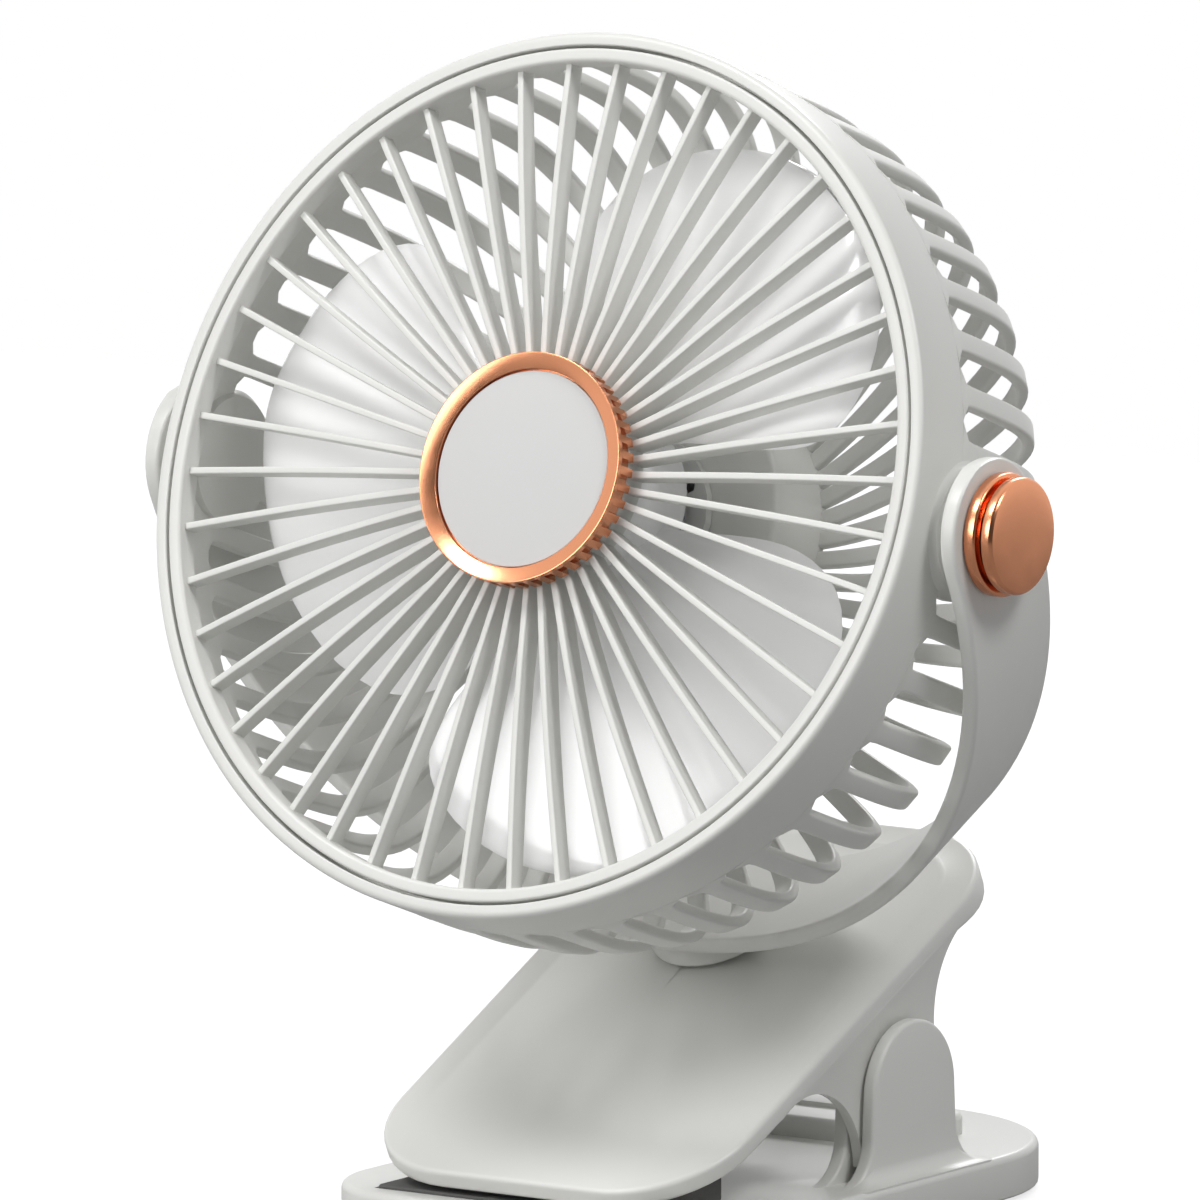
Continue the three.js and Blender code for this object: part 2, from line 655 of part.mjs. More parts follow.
function stator() {
  const core = ring(TUBE_R + GAP, TUBE_R + 1.6, STATOR_FRONT + 2, STATOR_REAR - 2, STATOR_TEETH);
  const pitch = 360 / STATOR_TEETH;
  // each wound tooth stands a little higher than the core
  const teeth = range(STATOR_TEETH).map((k) =>
    box([TUBE_R + 1, STATOR_FRONT, -1.5], [STATOR_R, STATOR_REAR, 1.5]).rotate([0, pitch * k, 0]));
  return joined([core, ...teeth]);
}

function motorBoard() {
  return ring(TUBE_R + GAP, STATOR_R - 0.4, STATOR_REAR + GAP, STATOR_REAR + GAP + BOARD_THICKNESS, PIN_SIDES);
}

function rotorCan() {
  return turned([
    [SHAFT_R + GAP, ROTOR_FRONT],
    [ROTOR_R, ROTOR_FRONT],
    [ROTOR_R, ROTOR_REAR],
    [ROTOR_INNER_R, ROTOR_REAR],
    [ROTOR_INNER_R, ROTOR_FRONT + ROTOR_WALL],
    [SHAFT_R + GAP + 1.2, ROTOR_FRONT + ROTOR_WALL],
    [SHAFT_R + GAP + 1.2, ROTOR_FRONT + 2.4],
    [SHAFT_R + GAP, ROTOR_FRONT + 2.4],
  ], ROUND);
}

function magnetRing() {
  const outer = ROTOR_INNER_R - GAP / 2;
  return ring(outer - MAGNET_THICKNESS + 0.2, outer, ROTOR_FRONT + ROTOR_WALL + 1, ROTOR_REAR - 0.5, ROUND);
}

function motorShaft() {
  return disc(SHAFT_R, ROTOR_FRONT, MOUNT_FRONT + 0.3, PIN_SIDES);
}

// a blade section at radius r: a thin curved strip, pitched, as one ring of points
function bladeRing(r, phase) {
  const t = (r - IMPELLER_HUB_R) / (BLADE_TIP_R - IMPELLER_HUB_R);
  const spread = BLADE_HALF_ANGLE * (0.5 + 0.5 * Math.sin(Math.PI * Math.min(Math.max(t, 0) * 0.9 + 0.08, 1)));
  const rounding = Math.sqrt(Math.max(1 - Math.max((t - 0.62) / 0.385, 0) ** 2.4, 0));
  const half = spread * rounding;
  const sweep = -BLADE_SWEEP * Math.max(t, 0) ** 1.5;
  const pitch = rad(THREE.MathUtils.lerp(BLADE_ROOT_PITCH, BLADE_TIP_PITCH, THREE.MathUtils.clamp(t, 0, 1)));
  const along = range(7).map((i) => -1 + i / 3);
  const place = (q, face) => {
    const angle = rad(phase + sweep + q * half);
    const thickness = (BLADE_THICKNESS / 2) * (1 - 0.55 * q * q);
    const camber = 1.6 * (1 - q * q);
    const y = (IMPELLER_FRONT + IMPELLER_REAR) / 2 + q * rad(half) * r * Math.tan(pitch) * 0.62 - camber;
    return v3(r * Math.cos(angle), y + face * thickness, r * Math.sin(angle));
  };
  return [...along.map((q) => place(q, -1)), ...along.map((q) => place(-q, 1))];
}

function impeller() {
  const rearEdge = IMPELLER_REAR;
  const hub = turned([
    [0, IMPELLER_FRONT],
    [IMPELLER_HUB_R - 2.4, IMPELLER_FRONT],
    [IMPELLER_HUB_R, IMPELLER_FRONT + 2.4],
    [IMPELLER_HUB_R, rearEdge],
    [ROTOR_R + GAP, rearEdge],
    [ROTOR_R + GAP, IMPELLER_FRONT + IMPELLER_WALL],
    [0, IMPELLER_FRONT + IMPELLER_WALL],
  ], FINE_ROUND);
  const radii = [-0.01, 0.18, 0.42, 0.64, 0.8, 0.92, 0.985]
    .map((share) => IMPELLER_HUB_R + share * (BLADE_TIP_R - IMPELLER_HUB_R));
  const blades = range(BLADES).map((k) =>
    solid(loft(radii.map((r) => bladeRing(r, BLADE_PHASE + (360 * k) / BLADES)))));
  return joined([hub, ...blades]);
}

// ---------------------------------------------------------------- head: rear cover and button

const COVER_DOME_TOP = HOUSING_REAR + REAR_COVER_DOME;
const BUTTON_TOP = COVER_DOME_TOP + BUTTON_PROUD;
const BUTTON_FLANGE = COVER_SEAT - GAP - BUTTON_TRAVEL;

function rearCover() {
  const hole = BUTTON_R + GAP;
  return turned([
    [hole, COVER_DOME_TOP],
    [20, COVER_DOME_TOP - 0.5],
    [HOUSING_R - 1, HOUSING_REAR + GAP],
    [HOUSING_R - HOUSING_WALL - GAP, HOUSING_REAR + GAP],
    [HOUSING_R - HOUSING_WALL - GAP, COVER_SEAT - 1],
    [HOUSING_R - HOUSING_WALL - 1.8, COVER_SEAT - 1],
    [HOUSING_R - HOUSING_WALL - 1.8, COVER_SEAT + 0.6],
    [hole, COVER_SEAT + 0.6],
  ], FINE_ROUND);
}

const SWITCH_REAR = BOARD_FRONT + BOARD_THICKNESS + GAP + SWITCH_HEIGHT;

function controlBoard() {
  return disc(CONTROL_BOARD_R, BOARD_FRONT, BOARD_FRONT + BOARD_THICKNESS, ROUND);
}

function buttonSwitch() {
  const seat = BOARD_FRONT + BOARD_THICKNESS + GAP;
  const body = box([-3, seat, -3], [3, seat + SWITCH_HEIGHT * 0.7, 3]);
  return body.add(disc(1.6, seat, SWITCH_REAR, SMALL_ROUND));
}

function speedButton() {
  const flange = COVER_SEAT + 0.6 - GAP;
  const stem = SWITCH_REAR + BUTTON_TRAVEL + GAP;
  return turned([
    [0, stem],
    [2.2, stem],
    [2.2, flange - 1.2],
    [BUTTON_R + 1.4, flange - 1.2],
    [BUTTON_R + 1.4, flange],
    [BUTTON_R, flange],
    [BUTTON_R, BUTTON_TOP - 0.5],
    [BUTTON_R - 0.6, BUTTON_TOP],
    [0, BUTTON_TOP],
  ], PIN_SIDES);
}

// ---------------------------------------------------------------- yoke

// the strap's curve in X and depth below the pivot, at an inset from its outer face
function strapCurve(inset, steps) {
  const [a, b] = [STRAP_HALF_SPAN - inset, STRAP_DROP - inset];
  const power = 2 / STRAP_SQUARENESS;
  return range(steps + 1).map((i) => {
    const angle = Math.PI * (i / steps);
    const c = Math.cos(angle);
    return [a * Math.sign(c) * Math.abs(c) ** power, -b * Math.sin(angle) ** power];
  });
}

function yoke() {
  const outer = strapCurve(0, STRAP_STEPS);
  const inner = strapCurve(STRAP_THICKNESS, STRAP_STEPS).reverse();
  const rise = STRAP_HALF_WIDTH + 1;
  const inside = STRAP_HALF_SPAN - STRAP_THICKNESS;
  const outline = [
    [STRAP_HALF_SPAN, rise],
    ...outer,
    [-STRAP_HALF_SPAN, rise],
    [-inside, rise],
    ...inner,
    [inside, rise],
  ];
  const strap = extruded(outline, 2 * STRAP_HALF_WIDTH)
    .rotate([90, 0, 0]).translate([0, STRAP_HALF_WIDTH, 0]);
  // the arms end in round eyes
  const half = STRAP_HALF_WIDTH;
  const below = [[-half, -STRAP_DROP - 1], [half, -STRAP_DROP - 1], ...arc(0, 0, half, 0, 180, 14)];
  const trimmed = strap.intersect(extrudedX(below, -STRAP_HALF_SPAN - 1, STRAP_HALF_SPAN + 1));
  const collar = turnedZ([
    [0, -STRAP_DROP - COLLAR_LENGTH],
    [COLLAR_R - 0.8, -STRAP_DROP - COLLAR_LENGTH],
    [COLLAR_R, -STRAP_DROP - COLLAR_LENGTH + 0.8],
    [COLLAR_R, -STRAP_DROP + 1.6],
    [0, -STRAP_DROP + 1.6],
  ], ROUND);
  const stub = turnedZ([[0, STUB_END], [STUB_R, STUB_END], [STUB_R, -STRAP_DROP], [0, -STRAP_DROP]], ROUND);
  const bore = turnedZ([[0, STUB_END - 1], [STUB_BORE_R, STUB_END - 1],
    [STUB_BORE_R, -STRAP_DROP + STRAP_THICKNESS + 1], [0, -STRAP_DROP + STRAP_THICKNESS + 1]], PIN_SIDES);
  const eyes = [1, -1].map((side) => {
    const [from, to] = [side * (inside - 1), side * (STRAP_HALF_SPAN + 1)];
    return turnedX([[0, from], [PIN_R + GAP, from], [PIN_R + GAP, to], [0, to]], PIN_SIDES);
  });
  const recess = mirrored(turnedX([[0, inside + STRAP_THICKNESS - PLUG_RECESS_DEPTH],
    [PLUG_RECESS_R, inside + STRAP_THICKNESS - PLUG_RECESS_DEPTH],
    [PLUG_RECESS_R, STRAP_HALF_SPAN + 1], [0, STRAP_HALF_SPAN + 1]], ROUND), -1);
  return cut(joined([trimmed, collar, stub]), [bore, recess, ...eyes]);
}

const BOSS_END = -STEM_LENGTH - SWIVEL_BOSS_DEPTH; // along the stem, from the pivot
const WASHER_TOP = BOSS_END - GAP;
const NUT_TOP = WASHER_TOP - SWIVEL_WASHER_THICKNESS - GAP;
const STUB_END = NUT_TOP - SWIVEL_NUT_HEIGHT + 0.6;

const swivelWasher = () => turnedZ([
  [STUB_R + GAP, WASHER_TOP - SWIVEL_WASHER_THICKNESS],
  [SWIVEL_WASHER_R, WASHER_TOP - SWIVEL_WASHER_THICKNESS],
  [SWIVEL_WASHER_R, WASHER_TOP],
  [STUB_R + GAP, WASHER_TOP],
], ROUND);

function swivelNut() {
  const bottom = NUT_TOP - SWIVEL_NUT_HEIGHT;
  const block = turnedZ([[0, bottom], [SWIVEL_NUT_R, bottom], [SWIVEL_NUT_R, NUT_TOP], [0, NUT_TOP]], 6);
  return cut(block, [upright(STUB_R + GAP, bottom - 1, NUT_TOP + 1, [0, 0], ROUND)]);
}

// pieces on the pivot axis are drawn for the right side, and mirrored for the left
const mirrored = (body, side) => (side > 0 ? body : body.mirror([1, 0, 0]));

const EYE_FACE = STRAP_HALF_SPAN;
const CAP_SEAT = EYE_FACE + GAP;

const pivotPin = (seat, head) => turnedX([
  [0, PIVOT_BOSS_FACE - PIN_DEPTH],
  [PIN_R, PIVOT_BOSS_FACE - PIN_DEPTH],
  [PIN_R, seat],
  [PIN_HEAD_R, seat],
  [PIN_HEAD_R, seat + head],
  [0, seat + head],
], PIN_SIDES);

const pivotWasher = () => turnedX([
  [PIN_R + GAP, PIVOT_BOSS_FACE + GAP],
  [WASHER_R, PIVOT_BOSS_FACE + GAP],
  [WASHER_R, WASHER_FACE],
  [PIN_R + GAP, WASHER_FACE],
], ROUND);

const capRing = () => turnedX([
  [PIN_HEAD_R + GAP, CAP_SEAT],
  [CAP_RING_R, CAP_SEAT],
  [CAP_RING_R, CAP_SEAT + CAP_RING_HEIGHT - 0.6],
  [CAP_RING_R - 0.6, CAP_SEAT + CAP_RING_HEIGHT],
  [CAP_PLUG_R + GAP, CAP_SEAT + CAP_RING_HEIGHT],
  [CAP_PLUG_R + GAP, CAP_SEAT + PIN_HEAD_HEIGHT],
  [PIN_HEAD_R + GAP, CAP_SEAT + PIN_HEAD_HEIGHT],
], FINE_ROUND);

function capDisc() {
  const plug = CAP_SEAT + PIN_HEAD_HEIGHT + GAP;
  const neck = CAP_SEAT + CAP_RING_HEIGHT + GAP;
  const disc0 = neck + CAP_GROOVE;
  return turnedX([
    [0, plug],
    [CAP_PLUG_R, plug],
    [CAP_PLUG_R, neck],
    [CAP_NECK_R, neck],
    [CAP_NECK_R, disc0],
    [CAP_DISC_R, disc0],
    [CAP_DISC_R, disc0 + CAP_DISC_HEIGHT - 1],
    [CAP_DISC_R - 1, disc0 + CAP_DISC_HEIGHT - 0.4],
    [0, disc0 + CAP_DISC_HEIGHT],
  ], FINE_ROUND);
}

// the left eye's plug and its ring lie flush in a recess over the pin's head
const PLUG_SEAT = EYE_FACE - PLUG_RECESS_DEPTH + GAP;
const PLUG_BACK = PLUG_SEAT + PLUG_PIN_HEAD + GAP;

const plugRing = () => turnedX([
  [PLUG_R + GAP, PLUG_SEAT],
  [PLUG_RECESS_R - GAP, PLUG_SEAT],
  [PLUG_RECESS_R - GAP, PLUG_BACK + PLUG_THICKNESS],
  [PLUG_R + GAP, PLUG_BACK + PLUG_THICKNESS],
], ROUND);

const plugDisc = () => turnedX([
  [0, PLUG_BACK],
  [PLUG_R, PLUG_BACK],
  [PLUG_R, PLUG_BACK + PLUG_THICKNESS],
  [0, PLUG_BACK + PLUG_THICKNESS],
], ROUND);

// ---------------------------------------------------------------- lever

const LEVER_OUTLINE = {
  halfWidth: LEVER_HALF_WIDTH,
  front: LEVER_FRONT,
  rear: LEVER_REAR,
  frontR: LEVER_CORNER_R,
  rearR: LEVER_CORNER_R,
};

// height of the pillow over the rim plane
function pillow(u, s) {
  const half = LEVER_HALF_WIDTH - LEVER_CREASE;
  const across = Math.max(1 - (u / half) ** 2, 0);
  const t = THREE.MathUtils.clamp((s - PILLOW_FRONT) / (PILLOW_REAR - PILLOW_FRONT), 0, 1);
  const peak = -PILLOW_FRONT / (PILLOW_REAR - PILLOW_FRONT);
  const rise = t < peak ? t / peak : (1 - t) / (1 - peak);
  return PILLOW_HEIGHT * across * Math.sin((Math.PI / 2) * rise) ** 1.4;
}

const leverOutline = (inset) => roundedOutline(LEVER_OUTLINE, inset, 5, [1, 4]);
const leverPrism = (inset) => fromLever(
  extruded(roundedOutline(LEVER_OUTLINE, inset), LEVER_PRISM_DEPTH).translate([0, 0, -LEVER_PRISM_DEPTH]));

// thickness of the rim, which grows smoothly towards the handle's end
function rimDepth(s) {
  const t = THREE.MathUtils.smoothstep(s, HANDLE_START, LEVER_REAR - LEVER_EDGE);
  return THREE.MathUtils.lerp(LEVER_EDGE, HANDLE_EDGE, t);
}

// rings of the lever's outline drawn in towards a middle line, on a pillowed surface
function leverRings(inset, lift, shares) {
  const outer = leverOutline(inset);
  return shares.map((share) => outer.map(([u, s]) => {
    const middle = THREE.MathUtils.clamp(s, -20, 10);
    const [x, y] = [u * share, middle + (s - middle) * share];
    return v3(x, y, pillow(x, y) + lift);
  }));
}

function leverPlate() {
  const rim = (inset, n) => leverOutline(inset).map(([u, s]) => v3(u, s, n));
  const under = (inset, lift) => leverOutline(inset).map(([u, s]) => v3(u, s, lift - rimDepth(s)));
  const top = leverRings(LEVER_CREASE, 0, [1, 0.82, 0.6, 0.34, 0.06]);
  return solid(loft([
    under(0.8, 0),
    under(0, 0.8),
    rim(0, -0.8),
    rim(0.8, 0),
    ...top,
  ]));
}

function leverPocket() {
  const inset = LEVER_WALL + 0.2;
  const pocket = { ...LEVER_OUTLINE, front: POCKET_FRONT, frontR: POCKET_CORNER_R };
  const outer = roundedOutline(pocket, inset, 3);
  const level = (n) => outer.map(([u, s]) => v3(u, s, n));
  const ceiling = [1, 0.75, 0.4, 0.1].map((share) => outer.map(([u, s]) => {
    const middle = THREE.MathUtils.clamp(s, -20, 10);
    const [x, y] = [u * share, middle + (s - middle) * share];
    return v3(x, y, pillow(x, y) - LEVER_WALL);
  }));
  return solid(loft([level(-HANDLE_EDGE - 1), ...ceiling]));
}

// the side walls follow the lever's outline, and their lower edge has the arch, knuckle and fillet
function leverSkirts() {
  const underside = (y) => leverPlane(y, -LEVER_EDGE + 1);
  const [archY, archZ, archR] = [SKIRT_FRONT_ARCH_Y, SKIRT_FRONT_ARCH_Z, SKIRT_FRONT_ARCH_R];
  // the rear edge meets the handle in a fillet
  const lean = (90 + INCLINE) / 2;
  const reach = SKIRT_REAR_FILLET / Math.tan(rad(lean));
  const cornerZ = leverPlane(SKIRT_REAR_Y, -LEVER_EDGE);
  const filletY = SKIRT_REAR_Y + SKIRT_REAR_FILLET;
  const filletZ = cornerZ - reach;
  const outline = [
    ...arc(archY, archZ, archR, 125, 2, 12),
    ...arc(HINGE_Y, HINGE_Z, SKIRT_KNUCKLE_R, 255, 326, 6),
    ...arc(filletY, filletZ, SKIRT_REAR_FILLET, 180, 180 - (90 - INCLINE), 8),
    [filletY + 4, underside(filletY + 4)],
    [archY + archR * Math.cos(rad(125)) - 6, underside(archY + archR * Math.cos(rad(125)) - 6)],
  ];
  const wall = leverPrism(0).subtract(leverPrism(LEVER_WALL));
  return extrudedX(outline, -LEVER_HALF_WIDTH - 1, LEVER_HALF_WIDTH + 1).intersect(wall);
}

function leverBody() {
  const plate = leverPlate();
  const shell = plate.subtract(leverPocket());
  const boss = turnedZ([
    [0, -SWIVEL_BOSS_DEPTH],
    [SWIVEL_BOSS_R, -SWIVEL_BOSS_DEPTH],
    [SWIVEL_BOSS_R, PILLOW_HEIGHT - 1],
    [0, PILLOW_HEIGHT - 1],
  ], ROUND);
  const web = (s) => box(
    [1 - LEVER_HALF_WIDTH + LEVER_WALL, s - 0.8, -LEVER_EDGE],
    [LEVER_HALF_WIDTH - LEVER_WALL - 1, s + 0.8, 0],
  );
  const hole = turnedZ([
    [0, -SWIVEL_BOSS_DEPTH - 2],
    [STUB_R + RUNNING_GAP, -SWIVEL_BOSS_DEPTH - 2],
    [STUB_R + RUNNING_GAP, PILLOW_HEIGHT + 2],
    [0, PILLOW_HEIGHT + 2],
  ], ROUND);
  const sloped = fromLever(cut(joined([shell, boss, web(-30), web(24)]), [hole]));
  const pinHoles = turnedX([
    [0, -LEVER_HALF_WIDTH - 1],
    [HINGE_PIN_R + GAP, -LEVER_HALF_WIDTH - 1],
    [HINGE_PIN_R + GAP, LEVER_HALF_WIDTH + 1],
    [0, LEVER_HALF_WIDTH + 1],
  ], PIN_SIDES).translate([0, HINGE_Y, HINGE_Z]);
  return cut(sloped.add(leverSkirts()), [pinHoles]);
}

const PAD_TOP = BASE_TOP + PAD_PROUD;
const GRIP_BOTTOM = PAD_TOP + GAP;

// the rubber wedge under the jaw, toothed across
function leverJawPad() {
  const pitch = (PAD_REAR - PAD_FRONT) / GRIP_TEETH;
  const under = (y) => leverPlane(y, -LEVER_EDGE - GAP);
  const teeth = range(GRIP_TEETH).flatMap((k) => {
    const start = PAD_FRONT + pitch * k;
    const depth = k === 0 ? 0 : GRIP_TOOTH_DEPTH;
    return [[start, GRIP_BOTTOM + depth * 0.2], [start + pitch * 0.7, GRIP_BOTTOM],
      [start + pitch * 0.98, GRIP_BOTTOM + GRIP_TOOTH_DEPTH]];
  });
  const outline = [...teeth, [PAD_REAR, under(PAD_REAR)], [PAD_FRONT, under(PAD_FRONT)]];
  return extrudedX(outline, -PAD_HALF_WIDTH, PAD_HALF_WIDTH).intersect(leverPrism(PAD_FROM_LEVER_EDGE));
}

// ---------------------------------------------------------------- base

const BASE_OUTLINE = {
  halfWidth: BASE_HALF_WIDTH,
  front: -BASE_HALF_LENGTH,
  rear: BASE_HALF_LENGTH,
  frontR: BASE_FRONT_CORNER_R,
  rearR: BASE_REAR_CORNER_R,
};
const CAVITY_TOP = BASE_TOP - BASE_ROOF;
const COVER_TOP = BASE_BOTTOM + COVER_THICKNESS;
const OUTER_EAR = LEVER_HALF_WIDTH + RUNNING_GAP;
const INNER_EAR = LEVER_HALF_WIDTH - LEVER_WALL - RUNNING_GAP;
const PIN_END = OUTER_EAR + EAR_THICKNESS - 1.2;

// an ear in Y and Z: a round head on the hinge, straight flanks, and a fillet at each foot
function earOutline(bottom) {
  const flank = EAR_R + EAR_FLANK;
  const foot = BASE_TOP + EAR_FOOT_R;
  return [
    ...arc(HINGE_Y, HINGE_Z, EAR_R, 0, 180, 12),
    ...arc(HINGE_Y - flank - EAR_FOOT_R, foot, EAR_FOOT_R, 0, -84, 4),
    [HINGE_Y - flank - EAR_FOOT_R, bottom],
    [HINGE_Y + flank + EAR_FOOT_R, bottom],
    ...arc(HINGE_Y + flank + EAR_FOOT_R, foot, EAR_FOOT_R, -96, -180, 4),
  ];
}

function ear(from, to) {
  return extrudedX(earOutline(BASE_TOP - 1), Math.min(from, to), Math.max(from, to));
}

// the outer ear flares into the base, with a hollow curve all round its foot
function earFlare(side) {
  const hollow = (radius, h) => radius - Math.sqrt(Math.max(radius ** 2 - (radius - h) ** 2, 0));
  const level = (h) => {
    const outline = {
      halfWidth: EAR_R + EAR_FLANK + hollow(EAR_FOOT_R, h) - EAR_FLARE_INSET,
      front: EAR_FLARE_INSET,
      rear: EAR_THICKNESS + hollow(EAR_FLARE, h),
      frontR: 0.5,
      rearR: EAR_FOOT_CORNER_R,
    };
    return roundedOutline(outline, 0, 3).map(([y, x]) => v3(OUTER_EAR + x, HINGE_Y + y, BASE_TOP + h));
  };
  const foot = level(0).map((p) => v3(p.x, p.y, BASE_TOP - 0.8));
  const rises = range(5).map((k) => level((EAR_FLARE * k) / 4));
  return mirrored(solid(loft([foot, ...rises])), side);
}

const basePosts = () => [
  [BASE_HALF_WIDTH - FRONT_SCREW_FROM_SIDE, FRONT_SCREW_FROM_END - BASE_HALF_LENGTH],
  [FRONT_SCREW_FROM_SIDE - BASE_HALF_WIDTH, FRONT_SCREW_FROM_END - BASE_HALF_LENGTH],
  [BASE_HALF_WIDTH - REAR_SCREW_FROM_SIDE, BASE_HALF_LENGTH - REAR_SCREW_FROM_END],
  [REAR_SCREW_FROM_SIDE - BASE_HALF_WIDTH, BASE_HALF_LENGTH - REAR_SCREW_FROM_END],
];

function upright(r, bottom, top, [x, y], segments = SMALL_ROUND) {
  return turnedZ([[0, bottom], [r, bottom], [r, top], [0, top]], segments).translate([x, y, 0]);
}

const BOARD_REAR = BASE_HALF_LENGTH - BASE_WALL - 1.8;
const CHARGE_BOARD_BOTTOM = COVER_TOP + GAP + 0.2;
const INLET_BOTTOM = CHARGE_BOARD_BOTTOM + BOARD_THICKNESS + GAP;
const INLET_REAR = BASE_HALF_LENGTH - 0.4;

function baseShell() {
  const block = {
    halfWidth: BLOCK_HALF_WIDTH, front: BLOCK_FRONT, rear: BLOCK_REAR, frontR: 5, rearR: 5,
  };
  const slot = {
    halfWidth: BLOCK_SLOT_HALF_WIDTH,
    front: (BLOCK_FRONT + BLOCK_REAR) / 2 - BLOCK_SLOT_HALF_LENGTH,
    rear: (BLOCK_FRONT + BLOCK_REAR) / 2 + BLOCK_SLOT_HALF_LENGTH,
    frontR: 2.8,
    rearR: 2.8,
  };
  const outside = joined([
    slab(BASE_OUTLINE, BASE_BOTTOM, BASE_TOP, BASE_EDGE_R),
    slab(block, BASE_TOP - 1, BASE_TOP + BLOCK_HEIGHT, 1.6, 0, 3),
    ...[1, -1].flatMap((side) => [
      ear(side * OUTER_EAR, side * (OUTER_EAR + EAR_THICKNESS)),
      ear(side * INNER_EAR, side * (INNER_EAR - EAR_THICKNESS)),
      earFlare(side),
    ]),
  ]);
  const cavity = slab(BASE_OUTLINE, BASE_BOTTOM - 1, CAVITY_TOP, 1, BASE_WALL);
  const posts = basePosts().map((place) => upright(POST_R, COVER_TOP + GAP, CAVITY_TOP + 0.5, place));
  const blockTop = BASE_TOP + BLOCK_HEIGHT;
  const padRoom = box(
    [-PAD_HALF_WIDTH - GAP, PAD_FRONT - GAP, BASE_TOP - PAD_RECESS],
    [PAD_HALF_WIDTH + GAP, PAD_REAR + GAP, BASE_TOP + 1],
  );
  const inletHole = box(
    [-INLET_HALF_WIDTH - GAP, BASE_HALF_LENGTH - BASE_WALL - 1, INLET_BOTTOM - GAP],
    [INLET_HALF_WIDTH + GAP, BASE_HALF_LENGTH + 1, INLET_BOTTOM + INLET_HEIGHT + GAP],
  );
  const pinRoom = turnedX([
    [0, -PIN_END - GAP], [HINGE_PIN_R + GAP, -PIN_END - GAP],
    [HINGE_PIN_R + GAP, PIN_END + GAP], [0, PIN_END + GAP],
  ], PIN_SIDES).translate([0, HINGE_Y, HINGE_Z]);
  const screwRooms = basePosts().map((place) =>
    upright(SCREW_R + GAP, COVER_TOP, CAVITY_TOP - 0.6, place));
  return cut(outside.subtract(cavity).add(joined(posts)), [
    slab(slot, blockTop - BLOCK_SLOT_DEPTH, blockTop + 1, 0.1, 0, 3),
    padRoom, inletHole, pinRoom, ...screwRooms,
  ]);
}

function baseCover() {
  const inset = BASE_WALL + GAP;
  const plate = slab(BASE_OUTLINE, BASE_BOTTOM, COVER_TOP, 0.2, inset, 5, 1);
  const holes = basePosts().flatMap((place) => [
    upright(SCREW_R + GAP, BASE_BOTTOM - 1, COVER_TOP + 1, place),
    upright(SCREW_HEAD_R + GAP, BASE_BOTTOM - 1, BASE_BOTTOM + SCREW_SINK, place),
  ]);
  return cut(plate, holes);
}

const SCREW_SINK = 0.9;

function baseScrew([x, y]) {
  const seat = BASE_BOTTOM + SCREW_SINK - GAP;
  return turnedZ([
    [0, seat - 0.5],
    [SCREW_HEAD_R, seat - 0.5],
    [SCREW_HEAD_R, seat],
    [SCREW_R, seat],
    [SCREW_R, CAVITY_TOP - 1],
    [0, CAVITY_TOP - 1],
  ], SMALL_ROUND).translate([x, y, 0]);
}

function solePad() {
  const outline = {
    halfWidth: BASE_HALF_WIDTH - SOLE_FROM_SIDE,
    front: SOLE_FROM_END - BASE_HALF_LENGTH,
    rear: BASE_HALF_LENGTH - SOLE_FROM_END,
    frontR: 14,
    rearR: 22,
  };
  return slab(outline, 0, BASE_BOTTOM - GAP, 0.1, 0, 5, 1);
}

function baseJawPad() {
  const outline = {
    halfWidth: PAD_HALF_WIDTH, front: PAD_FRONT, rear: PAD_REAR, frontR: 1.2, rearR: 1.2,
  };
  return slab(outline, BASE_TOP - PAD_RECESS + GAP, PAD_TOP, 0.3, 0, 3, 1);
}

const hingePin = () => turnedX([
  [0, -PIN_END], [HINGE_PIN_R, -PIN_END], [HINGE_PIN_R, PIN_END], [0, PIN_END],
], PIN_SIDES).translate([0, HINGE_Y, HINGE_Z]);

// one wire: a leg on the base, the coil round the hinge pin, and a leg under the handle
function torsionSpring() {
  const half = (SPRING_TURNS * SPRING_PITCH) / 2;
  const at = (x, angle, r) => v3(x, HINGE_Y + r * Math.cos(rad(angle)), HINGE_Z + r * Math.sin(rad(angle)));
  const start = SPRING_START;
  const end = SPRING_END;
  const turns = SPRING_TURNS + (end - start) / 360;
  const steps = Math.round(SPRING_STEPS * turns);
  const coil = range(steps + 1).map((i) =>
    at(-half + (2 * half * i) / steps, start + (360 * turns * i) / steps, SPRING_COIL_R));
  const tangent = (angle, length) => v3(0, length * -Math.sin(rad(angle)), length * Math.cos(rad(angle)));
  const lower = coil[0].clone().add(tangent(start, -SPRING_LOWER_LEG));
  const upper = coil[coil.length - 1].clone().add(tangent(end, SPRING_UPPER_LEG));
  console.log(`torsion spring: least gap to itself ${leastGap(coil).toFixed(2)} mm`);
  return wire([lower, ...coil, upper], SPRING_WIRE_R, SPRING_SIDES);
}

// the least gap of the wire to itself, between points half a turn or more apart
function leastGap(points) {
  let least = Infinity;
  for (const [i, a] of points.entries()) {
    for (const b of points.slice(i + SPRING_STEPS / 2)) least = Math.min(least, a.distanceTo(b));
  }
  return least - 2 * SPRING_WIRE_R;
}

// the lower leg touches the base roof in front of the hinge, the upper leg the handle's underside
const SPRING_START = springLegAngle(SPRING_LOWER_LEG, BASE_TOP + SPRING_WIRE_R + GAP);
const SPRING_END = springUpperAngle(SPRING_UPPER_LEG);

